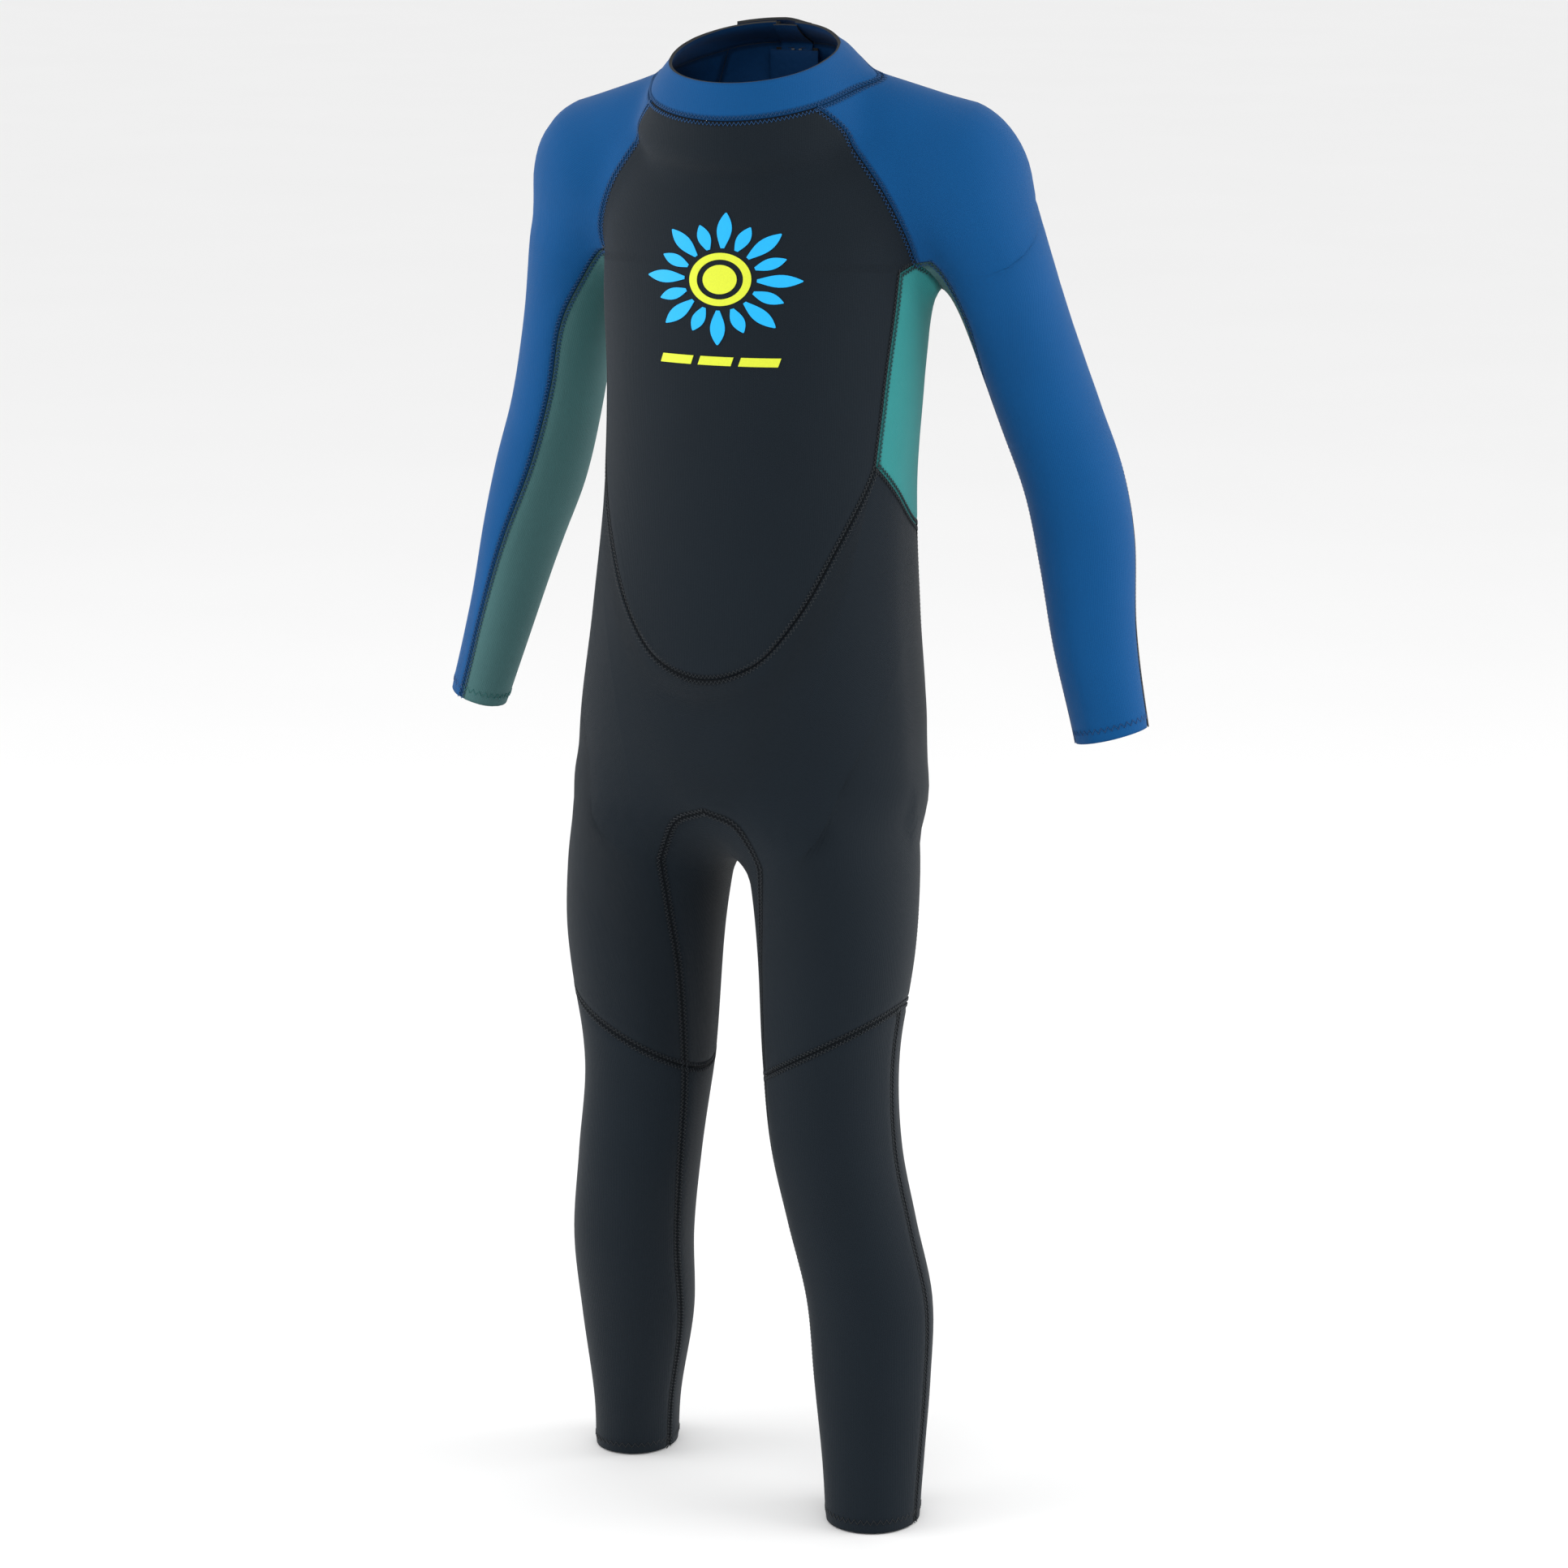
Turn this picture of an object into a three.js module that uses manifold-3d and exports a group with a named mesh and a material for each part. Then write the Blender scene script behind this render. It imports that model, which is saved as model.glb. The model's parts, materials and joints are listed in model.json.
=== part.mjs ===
// A child's full wetsuit in 2 mm neoprene, with a back zip, standing in the shape of its wearer.
// Millimetres, +Z up. The origin is the crotch point. The chest faces -Y, the wearer's left is +X.
// Every panel is laid on one body form, between seams that it shares with its neighbours.
import * as THREE from "three";
import { mergeVertices } from "three/addons/utils/BufferGeometryUtils.js";
import Module from "manifold-3d";

const wasm = await Module();
wasm.setup();

// ---------------------------------------------------------------- driving dimensions
const insideLeg = 356; // crotch to ankle hem
const kneeDrop = 98; // crotch to the middle of the knee seam
const kneeSeamTilt = 22; // the knee seam is lower inside the leg and higher outside, by this each way
const trunkLength = 402; // crotch to the middle of the collar seam
const neoprene = 2; // thickness of every panel
const seamGap = 0.3; // between the edges of two sewn panels

const collarHeight = 16; // along the neck
const collarSeamWidth = 54.5; // half widths and half depths of the collar seam and of the rim
const collarSeamDepth = 58;
const rimWidth = 43.5;
const rimDepth = 46;
const neckMiddle = 12; // how far behind the origin the neck stands
const neckLean = THREE.MathUtils.degToRad(16);

const zipLength = 256; // of the chain
const zipTopClearance = 10; // collar seam to the end of the chain
const zipHalfOpening = 5.5; // panel edge to the middle of the zip
const backAtZipFoot = 76.5; // the back over the zip is a straight line: its depth at the waist
const backZipLean = 0.027; // and how much it leans in towards the neck, per mm

const tapeWidth = 9; // from the chain's edge
const tapeThickness = 0.6;
const tapeUnderPanel = 0.4; // panel's inner face to tape
const tapeInChain = 1.2; // depth of the channel that grips the tape
const tapeClearance = 0.3;
const chainWidth = 5.6;
const chainThickness = 2.4;
const toothPitch = 3.6;
const toothClearance = 0.35; // between two meshed teeth, and from a tooth to the facing row
const toothReach = 0.9; // past the middle of the chain
const stopLength = 3.2;
const sliderLength = 10;
const sliderWidth = 9;
const sliderPlate = 1;
const sliderClearance = 0.5;
const lugThickness = 1;
const lugHeight = 2.8;
const pinRadius = 0.55;
const pinClearance = 0.3;
const eyeWidth = 2.6; // of the pull tab's eye, between the lugs
const eyeRadius = 1.5;
const pullLength = 30;
const pullWidth = 7;
const pullThickness = 1.2;
const leashHoleRadius = 1.7; // where a cord can be tied to the pull tab
const guardWidth = 27;
const guardHemWidth = 4.5; // the edge of the zip guard that is sewn to one tape

const tabStart = 164; // sewn edge of the neck tab, degrees round the neck from the throat
const tabLength = 48; // degrees that it reaches round the neck
const tabHeight = 11;
const sewnLift = 0.4; // under its sewn edge
const tabLift = 2.6; // under its free end, where the hook and loop patches lie
const patchLength = 24; // degrees
const patchThickness = 0.8;
const patchInset = 0.9;

// ---------------------------------------------------------------- the body form
// Sections of the trunk: share of trunk length, middle, half width, depth in front, depth behind.
const zipFoot = trunkLength + collarSeamDepth * Math.sin(neckLean) - zipTopClearance - zipLength;
const backLine = (z) => backAtZipFoot - (z - zipFoot) * backZipLean;
const trunk = [
  [-0.05, -4, 70, 50, 66],
  [0.035, -5, 90, 58, 74],
  [0.15, -4, 92, 62, 77],
  [0.311, 1, 85.5, 64],
  [0.473, 11, 81.5, 68],
  [0.61, 22, 83.5, 73],
  [0.746, 28, 87, 76],
  [0.858, 30, 84, 66],
  [0.94, 26, 60, 52],
  [1.03, 22, 36, 38],
].map(([share, middle, width, front, behind]) => {
  const z = share * trunkLength;
  return [z, middle, width, front, behind ?? backLine(z) - middle];
});
const trunkFoot = 0.045 * trunkLength;
const trunkTop = trunk.at(-1)[0];

// Sections of each leg: share of inside leg, sideways, back, half width, half depth.
// The suit stands in a short stride, the left foot forward.
const legs = {
  left: [
    [-1.12, 86, -34, 24, 27],
    [-1, 83, -30, 24.5, 27.5],
    [-0.913, 81.5, -26, 26.5, 29],
    [-0.792, 78.5, -20, 30.5, 32],
    [-0.674, 74.5, -14, 33, 34],
    [-0.556, 64, -13, 33.5, 35],
    [-0.435, 56, -16, 34, 36],
    [-0.303, 52.5, -15, 35.5, 38],
    [-0.14, 54.5, -13, 40.5, 45],
    [-0.028, 52, -9, 43, 52],
    [0.07, 46, -4, 45, 60],
  ],
  right: [
    [-1.12, -84, 34, 21.5, 26],
    [-1, -81, 30, 22, 26],
    [-0.913, -77, 22, 23, 27.5],
    [-0.764, -71, 10, 30, 32],
    [-0.624, -67, -4, 32, 34],
    [-0.483, -58.5, -14, 32.5, 35],
    [-0.331, -52.5, -14, 34, 38],
    [-0.14, -55.5, -11, 41, 45],
    [-0.028, -53, -8, 43, 52],
    [0.07, -47, -4, 45, 60],
  ],
};
for (const rows of Object.values(legs)) for (const row of rows) row[0] *= insideLeg;
const legTop = 16;

// Each arm hangs from its shoulder to its cuff, with the elbow a little back. Its sections give the
// distance down that line, outward, back, half width, half depth, and the turn of the section.
const arms = {
  left: {
    shoulder: [108, 40, trunkLength - 51],
    hang: [78, 5, -285],
    sections: [
      [-20, -4, 0, 31, 34, 0],
      [30, 0, 3, 28, 33, 0],
      [80, 1, 13, 26, 30, 0],
      [130, 2, 23, 26, 28, 0],
      [165, 4, 26, 26, 27, 0],
      [200, 4, 20, 25.5, 25, 10],
      [245, 1, 8, 22, 22, 30],
      [295, 0, 0, 19, 21, 45],
      [330, 0, -8, 19, 21, 45],
    ],
  },
  right: {
    shoulder: [-107, 40, trunkLength - 57],
    hang: [-74, 5, -292],
    sections: [
      [-20, -4, 0, 29, 34, 0],
      [30, 0, 3, 26, 32, 0],
      [80, 0, 13, 24, 29, 0],
      [130, 1, 23, 24, 27, 0],
      [170, 3, 26, 24.5, 27, 0],
      [205, 3, 20, 22, 25, -10],
      [250, 0, 8, 18, 22, -30],
      [300, 0, 0, 15, 19, -40],
      [330, 0, -8, 15, 19, -40],
    ],
  },
};
const sleeveLength = 296; // shoulder to cuff
const shoulders = {
  left: { neckEnd: [34, 22, trunkLength - 10], armEnd: [96, 36, trunkLength - 41], radii: [22, 34] },
  right: { neckEnd: [-34, 22, trunkLength - 13], armEnd: [-96, 36, trunkLength - 46], radii: [22, 34] },
};
const sideSign = { left: 1, right: -1 };

// Sections of the neck: height over the collar seam, back, half width, half depth.
const neck = [
  [-24, -6, 62, 60],
  [0, 0, collarSeamWidth, collarSeamDepth],
  [collarHeight / 2, 0, (collarSeamWidth + rimWidth) / 2, (collarSeamDepth + rimDepth) / 2],
  [collarHeight, 0, rimWidth, rimDepth],
  [3 * collarHeight, 0, rimWidth, rimDepth],
];
const neckFoot = -14;

const vec = (x, y, z) => new THREE.Vector3(x, y, z);
const neckOrigin = vec(0, neckMiddle, trunkLength);
const neckUp = vec(0, -Math.sin(neckLean), Math.cos(neckLean));
const neckBack = vec(0, Math.cos(neckLean), Math.sin(neckLean));

// A smooth line through the rows of a table, read at x from one of its columns.
function along(rows, x, column) {
  const last = rows.length - 1;
  const at = THREE.MathUtils.clamp(x, rows[0][0], rows[last][0]);
  let i = 0;
  while (i < last - 1 && at >= rows[i + 1][0]) i++;
  const slope = (k) => {
    const before = rows[Math.max(k - 1, 0)];
    const after = rows[Math.min(k + 1, last)];
    return (after[column] - before[column]) / (after[0] - before[0]);
  };
  const span = rows[i + 1][0] - rows[i][0];
  const s = (at - rows[i][0]) / span;
  const s2 = s * s;
  const s3 = s2 * s;
  return (
    (2 * s3 - 3 * s2 + 1) * rows[i][column] +
    (s3 - 2 * s2 + s) * span * slope(i) +
    (3 * s2 - 2 * s3) * rows[i + 1][column] +
    (s3 - s2) * span * slope(i + 1)
  );
}

// Signed distance, roughly, from a rounded section; past is how far the point lies beyond its end.
function fromSection(u, w, width, depth, power, past, reach) {
  const sum =
    Math.abs(u / width) ** power + Math.abs(w / depth) ** power + (past / reach) ** power;
  const ratio = Math.max(sum ** (1 / power), 1e-6);
  return Math.hypot(u, w, past) * (1 - 1 / ratio);
}

function fromTrunk(p) {
  const read = (column) => along(trunk, p.z, column);
  const w = p.y - read(1);
  const above = Math.max(p.z - trunkTop, 0);
  const below = Math.max(trunkFoot - p.z, 0);
  const depth = w < 0 ? read(3) : read(4);
  return fromSection(p.x, w, read(2), depth, w < 0 ? 2.1 : 2.8, above + below, above ? 10 : 15);
}

function fromLeg(rows, p) {
  const read = (column) => along(rows, p.z, column);
  const above = Math.max(p.z - legTop, 0);
  return fromSection(p.x - read(1), p.y - read(2), read(3), read(4), 2.1, above, 34);
}

for (const [side, arm] of Object.entries(arms)) {
  arm.origin = vec(...arm.shoulder);
  arm.down = vec(...arm.hang).normalize();
  arm.back = arm.down.clone().cross(vec(1, 0, 0)).normalize();
  if (arm.back.y < 0) arm.back.negate();
  arm.out = arm.back.clone().cross(arm.down).normalize();
  if (arm.out.x * sideSign[side] < 0) arm.out.negate();
}

function fromArm(arm, p) {
  const d = p.clone().sub(arm.origin);
  const s = d.dot(arm.down);
  const read = (column) => along(arm.sections, s, column);
  const x = d.dot(arm.out) - read(1);
  const y = d.dot(arm.back) - read(2);
  const turn = THREE.MathUtils.degToRad(read(5));
  const u = x * Math.cos(turn) + y * Math.sin(turn);
  const w = y * Math.cos(turn) - x * Math.sin(turn);
  return fromSection(u, w, read(3), read(4), 2.05, Math.max(5 - s, 0), 33);
}

function fromShoulder({ neckEnd, armEnd, radii }, p) {
  const line = new THREE.Line3(vec(...neckEnd), vec(...armEnd));
  const t = line.closestPointToPointParameter(p, true);
  return line.at(t, vec(0, 0, 0)).distanceTo(p) - THREE.MathUtils.lerp(...radii, t);
}

function fromNeck(p) {
  const d = p.clone().sub(neckOrigin);
  const s = d.dot(neckUp);
  const read = (column) => along(neck, s, column);
  const below = Math.max(neckFoot - s, 0);
  return fromSection(d.x, d.dot(neckBack) - read(1), read(2), read(3), 2, below, 20);
}

// Two shapes run into each other with a fillet of about this size.
function joined(a, b, fillet) {
  const h = Math.max(fillet - Math.abs(a - b), 0) / fillet;
  return Math.min(a, b) - (h * h * fillet) / 4;
}

function form(p) {
  let f = fromTrunk(p);
  f = joined(f, fromShoulder(shoulders.left, p), 22);
  f = joined(f, fromShoulder(shoulders.right, p), 22);
  f = joined(f, fromArm(arms.left, p), 20);
  f = joined(f, fromArm(arms.right, p), 20);
  f = joined(f, joined(fromLeg(legs.left, p), fromLeg(legs.right, p), 8), 20);
  return joined(f, fromNeck(p), 8);
}

// The point where a line from a core inside the form, towards a target, comes out of it.
function lay(core, target) {
  const direction = target.clone().sub(core).normalize();
  const at = (t) => core.clone().addScaledVector(direction, t);
  let inside = 0;
  let outside = 2;
  while (form(at(outside)) < 0 && outside < 300) {
    inside = outside;
    outside += 3;
  }
  for (let i = 0; i < 20; i++) {
    const middle = (inside + outside) / 2;
    if (form(at(middle)) < 0) inside = middle;
    else outside = middle;
  }
  return at(outside);
}

function outwards(p) {
  const h = 0.4;
  const slope = (axis) => form(p.clone().addScaledVector(axis, h)) - form(p.clone().addScaledVector(axis, -h));
  return vec(slope(vec(1, 0, 0)), slope(vec(0, 1, 0)), slope(vec(0, 0, 1))).normalize();
}

// ---------------------------------------------------------------- points named by where they lie
const radians = THREE.MathUtils.degToRad;
const mix = THREE.MathUtils.lerp;

// On the trunk, at an angle round it from the front towards the wearer's left.
function onTrunk(angle, z) {
  const core = vec(0, along(trunk, z, 1), z);
  return lay(core, core.clone().add(vec(Math.sin(radians(angle)), -Math.cos(radians(angle)), 0)));
}

// On a leg, at an angle round it from the front towards the inside.
function legCore(side, z) {
  return vec(along(legs[side], z, 1), along(legs[side], z, 2), z);
}
function onLeg(side, angle, z) {
  const core = legCore(side, z);
  const inside = -sideSign[side] * Math.sin(radians(angle));
  return lay(core, core.clone().add(vec(inside, -Math.cos(radians(angle)), 0)));
}
const kneeSeamZ = (angle) => -kneeDrop - kneeSeamTilt * Math.sin(radians(angle));

// On an arm, at a distance down it, and an angle round it from the front towards the outside.
function armCore(side, s) {
  const { origin, down, out, back, sections } = arms[side];
  return origin
    .clone()
    .addScaledVector(down, s)
    .addScaledVector(out, along(sections, s, 1))
    .addScaledVector(back, along(sections, s, 2));
}
function onArm(side, angle, s) {
  const { out, back } = arms[side];
  const core = armCore(side, s);
  const target = core
    .clone()
    .addScaledVector(out, Math.sin(radians(angle)))
    .addScaledVector(back, -Math.cos(radians(angle)));
  return lay(core, target);
}

// On the neck, at an angle round it from the throat towards the wearer's left.
function onNeck(angle, height) {
  const core = neckOrigin.clone().addScaledVector(neckUp, height);
  const target = core
    .clone()
    .add(vec(Math.sin(radians(angle)), 0, 0))
    .addScaledVector(neckBack, -Math.cos(radians(angle)));
  return lay(core, target);
}

// ---------------------------------------------------------------- seams
// How many steps each seam is drawn in. Panels that share a seam share its points.
const steps = {
  throat: 8,
  collarSide: 6,
  raglanFront: 7,
  raglanRear: 3, // where the rear sleeve panel meets the back
  side: 7,
  belly: 6,
  diagonal: 4, // also the armpit
  zipFoot: 2,
  thigh: 10,
  sleeve: 12,
  shin: 12,
  kneeFront: 6,
  kneeOutside: 2,
  kneeBack: 5,
  kneeInside: 4,
};
steps.arch = 2 * (steps.diagonal + steps.belly) + steps.throat; // from thigh to thigh
steps.waist = (steps.arch - steps.zipFoot) / 2; // also the back of the collar, each side
steps.raglanBack = steps.raglanFront + steps.raglanRear;
const raglanAngle = 53; // round the neck, where the raglan seams meet the collar
const backRaglanAngle = 142;
const slitAngle = (share) =>
  180 - THREE.MathUtils.radToDeg(Math.atan(zipHalfOpening / mix(collarSeamDepth, rimDepth, share)));

const seam = (count, pointAt) => Array.from({ length: count + 1 }, (_, i) => pointAt(i / count));
const join = (...parts) => parts.flatMap((part, i) => (i ? part.slice(1) : part));
const reversed = (points) => points.slice().reverse();

// A seam along a smooth line through points, each place laid on the form from a core of its own.
function seamThrough(points, count, coreOf, pace = (t) => t) {
  const onForm = points.map((p) => (Math.abs(form(p)) < 1e-3 ? p : lay(coreOf(p), p)));
  const rows = onForm.map((p, i) => [i / (points.length - 1), p.x, p.y, p.z]);
  return seam(count, (t) => {
    if (t === 0) return onForm[0];
    if (t === 1) return onForm.at(-1);
    const target = vec(...[1, 2, 3].map((column) => along(rows, pace(t), column)));
    return lay(coreOf(target), target);
  });
}

const zipFootMargin = 8; // the panels meet this far below the chain
const archTop = 31; // how far the gusset rises above the crotch, in front and behind
const sleeveStops = [0.24, 0.39, 0.54, 0.69, 0.84, 1]; // shares of the sleeve, and the angles there
const sleeveFrontAngles = {
  left: [-40, -68, -76, -78, -78, -78],
  right: [-16, -12, -8, 2, 12, 15],
};

const trunkCore = (p) => vec(0, along(trunk, p.z, 1), p.z);
const downArm = (side, p) => Math.max(p.clone().sub(arms[side].origin).dot(arms[side].down), 20);
const besideZip = (x, z) => lay(vec(0, 20, z), vec(x, backLine(z), z));
function pelvisCore(side, z) {
  const share = THREE.MathUtils.smoothstep(z, -20, 40);
  return legCore(side, Math.min(z, 40)).lerp(trunkCore(vec(0, 0, z)), share);
}

const collarArc = (from, to, count) => seam(count, (t) => onNeck(mix(from, to, t), 0));

function seamsOf(side) {
  const sign = sideSign[side];
  const mirrored = (x, y, z) => vec(sign * x, y, z);
  const fromNeck = (x, y, drop) => vec(sign * x, y, trunkLength - drop);
  const onSide = (angle, z) => onTrunk(sign * angle, z);
  const seams = {};

  seams.collarSide = collarArc(sign * raglanAngle, sign * backRaglanAngle, steps.collarSide);
  seams.collarBack = collarArc(sign * backRaglanAngle, sign * slitAngle(0), steps.waist);

  // Raglan seams run from the collar to the armpit, in front and behind.
  seams.raglanFront = seamThrough(
    [
      seams.collarSide[0],
      fromNeck(57, -9, 24),
      fromNeck(70, -4, 45),
      fromNeck(82, 1, 67),
      fromNeck(90, 13, 91),
    ],
    steps.raglanFront,
    (p) => vec(0.6 * p.x, 25, Math.min(p.z, trunkLength - 57)),
  );
  seams.raglanBack = seamThrough(
    [
      seams.collarBack[0],
      fromNeck(56, 74, 14),
      fromNeck(72, 80, 40),
      fromNeck(84, 77, 66),
      fromNeck(90, 66, 91),
    ],
    steps.raglanBack,
    (p) => vec(0.6 * p.x, 32, Math.min(p.z, trunkLength - 57)),
  );
  const front = seams.raglanFront.at(-1);
  const back = seams.raglanBack.at(-1);

  // The armpit seam passes under the arm.
  seams.armpit = seamThrough(
    [front, fromNeck(92.5, 27, 104), fromNeck(92, 39, 108), fromNeck(89, 52, 102), back],
    steps.diagonal,
    () => fromNeck(91, 38, 70),
  );

  // Side seams of the body, the slanting foot of the side panel and the U under the belly.
  const peakZ = 0.52 * trunkLength;
  const flankZ = 0.418 * trunkLength;
  seams.sideFront = seam(steps.side, (t) => {
    if (t === 0) return front;
    return onSide(70 + 3 * (1 - t) ** 3, mix(front.z, peakZ, t));
  });
  seams.sideBack = seam(steps.side, (t) => {
    if (t === 0) return back;
    return onSide(mix(122, 118, t), mix(back.z, flankZ, t));
  });
  const peak = seams.sideFront.at(-1);
  const flank = seams.sideBack.at(-1);
  seams.diagonal = seamThrough(
    [peak, onSide(85, mix(peakZ, flankZ, 0.4)), onSide(102, mix(peakZ, flankZ, 0.82)), flank],
    steps.diagonal,
    trunkCore,
  );
  const bellySide = [[67, 0.95], [55, 0.805], [42, 0.65], [25, 0.515]];
  const bellyPoints = bellySide.map(([angle, share]) => onSide(angle, share * peakZ));
  seams.belly = seamThrough([peak, ...bellyPoints], steps.belly, trunkCore);

  // The zip's edge, the waist seam behind, and the hip seam from the waist to the knee.
  const zipHead = seams.collarBack.at(-1);
  seams.zip = seam(steps.raglanBack + steps.side, (t) => {
    if (t === 0) return zipHead;
    const level = back.z + 8;
    const armhole = steps.raglanBack / (steps.raglanBack + steps.side);
    const above = mix(zipHead.z, level, t / armhole);
    const below = mix(level, zipFoot - zipFootMargin, (t - armhole) / (1 - armhole));
    return besideZip(sign * zipHalfOpening, t < armhole ? above : below);
  });
  seams.waist = seam(steps.waist, (t) => {
    if (t === 0) return flank;
    if (t === 1) return seams.zip.at(-1);
    const rise = mix(flank.z, zipFoot - zipFootMargin, 1 - (1 - t) ** 1.7);
    return onSide(mix(118, 176, t), rise);
  });
  const knee = onLeg(side, -125, kneeSeamZ(-125));
  const hipSide = [onSide(121, 0.24 * trunkLength), onSide(124, 0.1 * trunkLength)];
  seams.hip = seamThrough(
    [flank, ...hipSide, onLeg(side, -125, -0.09 * insideLeg), knee],
    steps.thigh,
    (p) => pelvisCore(side, p.z),
  );

  // The gusset's seams run up the inside of the thigh and over an arch, in front and behind.
  const arch = (kneePoint, thighPoints, shoulderPoint, top) => {
    const core = (p) => pelvisCore(side, p.z - 12);
    const thigh = seamThrough([kneePoint, ...thighPoints], steps.thigh, core);
    const crownPace = (t) => THREE.MathUtils.smootherstep(t, 0, 1);
    const crown = seamThrough([thigh.at(-1), shoulderPoint, top], steps.arch / 2, core, crownPace);
    return join(thigh, crown);
  };
  seams.gussetFront = arch(
    onLeg(side, 54, kneeSeamZ(54)),
    [mirrored(24, -40, -0.18 * insideLeg), mirrored(26, -48, -0.076 * insideLeg), mirrored(27, -57, 2)],
    mirrored(17, -64, 24),
    onTrunk(0, archTop),
  );
  seams.gussetBack = arch(
    onLeg(side, 126, kneeSeamZ(126)),
    [mirrored(24, 12, -0.18 * insideLeg), mirrored(25, 29, -0.076 * insideLeg), mirrored(27, 48, 2)],
    mirrored(17, 62, 24),
    onTrunk(180, archTop),
  );

  // The knee seam, in the stretches that its neighbours share, and two seams down the lower leg.
  const kneeArc = (from, to, count) =>
    seam(count, (t) => onLeg(side, mix(from, to, t), kneeSeamZ(mix(from, to, t))));
  seams.kneeFront = kneeArc(54, -87, steps.kneeFront);
  seams.kneeOutside = kneeArc(-87, -125, steps.kneeOutside);
  seams.kneeInside = kneeArc(54, 126, steps.kneeInside);
  seams.kneeBack = kneeArc(126, 235, steps.kneeBack);
  const lowerLeg = (angleAt) =>
    seam(steps.shin, (t) => onLeg(side, angleAt(t), mix(kneeSeamZ(angleAt(0)), -insideLeg, t)));
  seams.shinInside = lowerLeg((t) => 54 + 21 * (1 - (1 - t) ** 2));
  seams.shinOutside = lowerLeg(() => -87);

  // Sleeve seams run from the armhole to the cuff.
  const sleeveSeam = (start, angles) =>
    seamThrough(
      [start, ...angles.map((angle, i) => onArm(side, angle, sleeveStops[i] * sleeveLength))],
      steps.sleeve,
      (p) => armCore(side, downArm(side, p)),
      (t) => t ** 1.35,
    );
  seams.sleeveFront = sleeveSeam(front, sleeveFrontAngles[side]);
  seams.sleeveInside = sleeveSeam(back, [-150, -155, -158, -160, -160, -160]);
  seams.sleeveRear = sleeveSeam(seams.raglanBack[steps.raglanFront], [160, 140, 124, 112, 104, 100]);
  return seams;
}

const left = seamsOf("left");
const right = seamsOf("right");
const throat = collarArc(-raglanAngle, raglanAngle, steps.throat);
const bellyFoot = seamThrough(
  [right.belly.at(-1), onTrunk(0, 0.252 * trunkLength), left.belly.at(-1)],
  steps.throat,
  trunkCore,
);
const zipFootEdge = seam(steps.zipFoot, (t) =>
  besideZip(mix(zipHalfOpening, -zipHalfOpening, t), zipFoot - zipFootMargin),
);

// ---------------------------------------------------------------- panels
// A panel is a grid of points on the form: row i runs from one seam to the other, seen from a core,
// by way of a middle direction. Its first and last rows can be seams of their own, and the rows
// near them then follow them, unless the panel is an armpit's.
function laidGrid({ from, to, columns, coreAt, wayAt, start, end, armpit }) {
  const rows = from.length - 1;
  const cores = from.map((a, i) => coreAt(i / rows, a, to[i]));
  const raw = from.map((a, i) => {
    const towardsA = a.clone().sub(cores[i]).normalize();
    const towardsB = to[i].clone().sub(cores[i]).normalize();
    const between = towardsA.clone().add(towardsB);
    const way = wayAt ? wayAt(i / rows, cores[i], between, to[i].clone().sub(a)) : between;
    way.normalize();
    return seam(columns, (t) => {
      const direction = towardsA
        .clone()
        .multiplyScalar((1 - t) ** 2)
        .addScaledVector(way, 2.6 * t * (1 - t))
        .addScaledVector(towardsB, t * t);
      return lay(cores[i], cores[i].clone().add(direction));
    });
  });
  return raw.map((row, i) =>
    row.map((p, j) => {
      if (j === 0) return from[i];
      if (j === columns) return to[i];
      if (i === 0 && start) return start[j];
      if (i === rows && end) return end[j];
      if (armpit || !(start || end)) return p;
      const moved = p.clone();
      if (start) moved.addScaledVector(start[j].clone().sub(raw[0][j]), (1 - i / rows) ** 2);
      if (end) moved.addScaledVector(end[j].clone().sub(raw[rows][j]), (i / rows) ** 2);
      return lay(cores[i], moved);
    }),
  );
}

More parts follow.
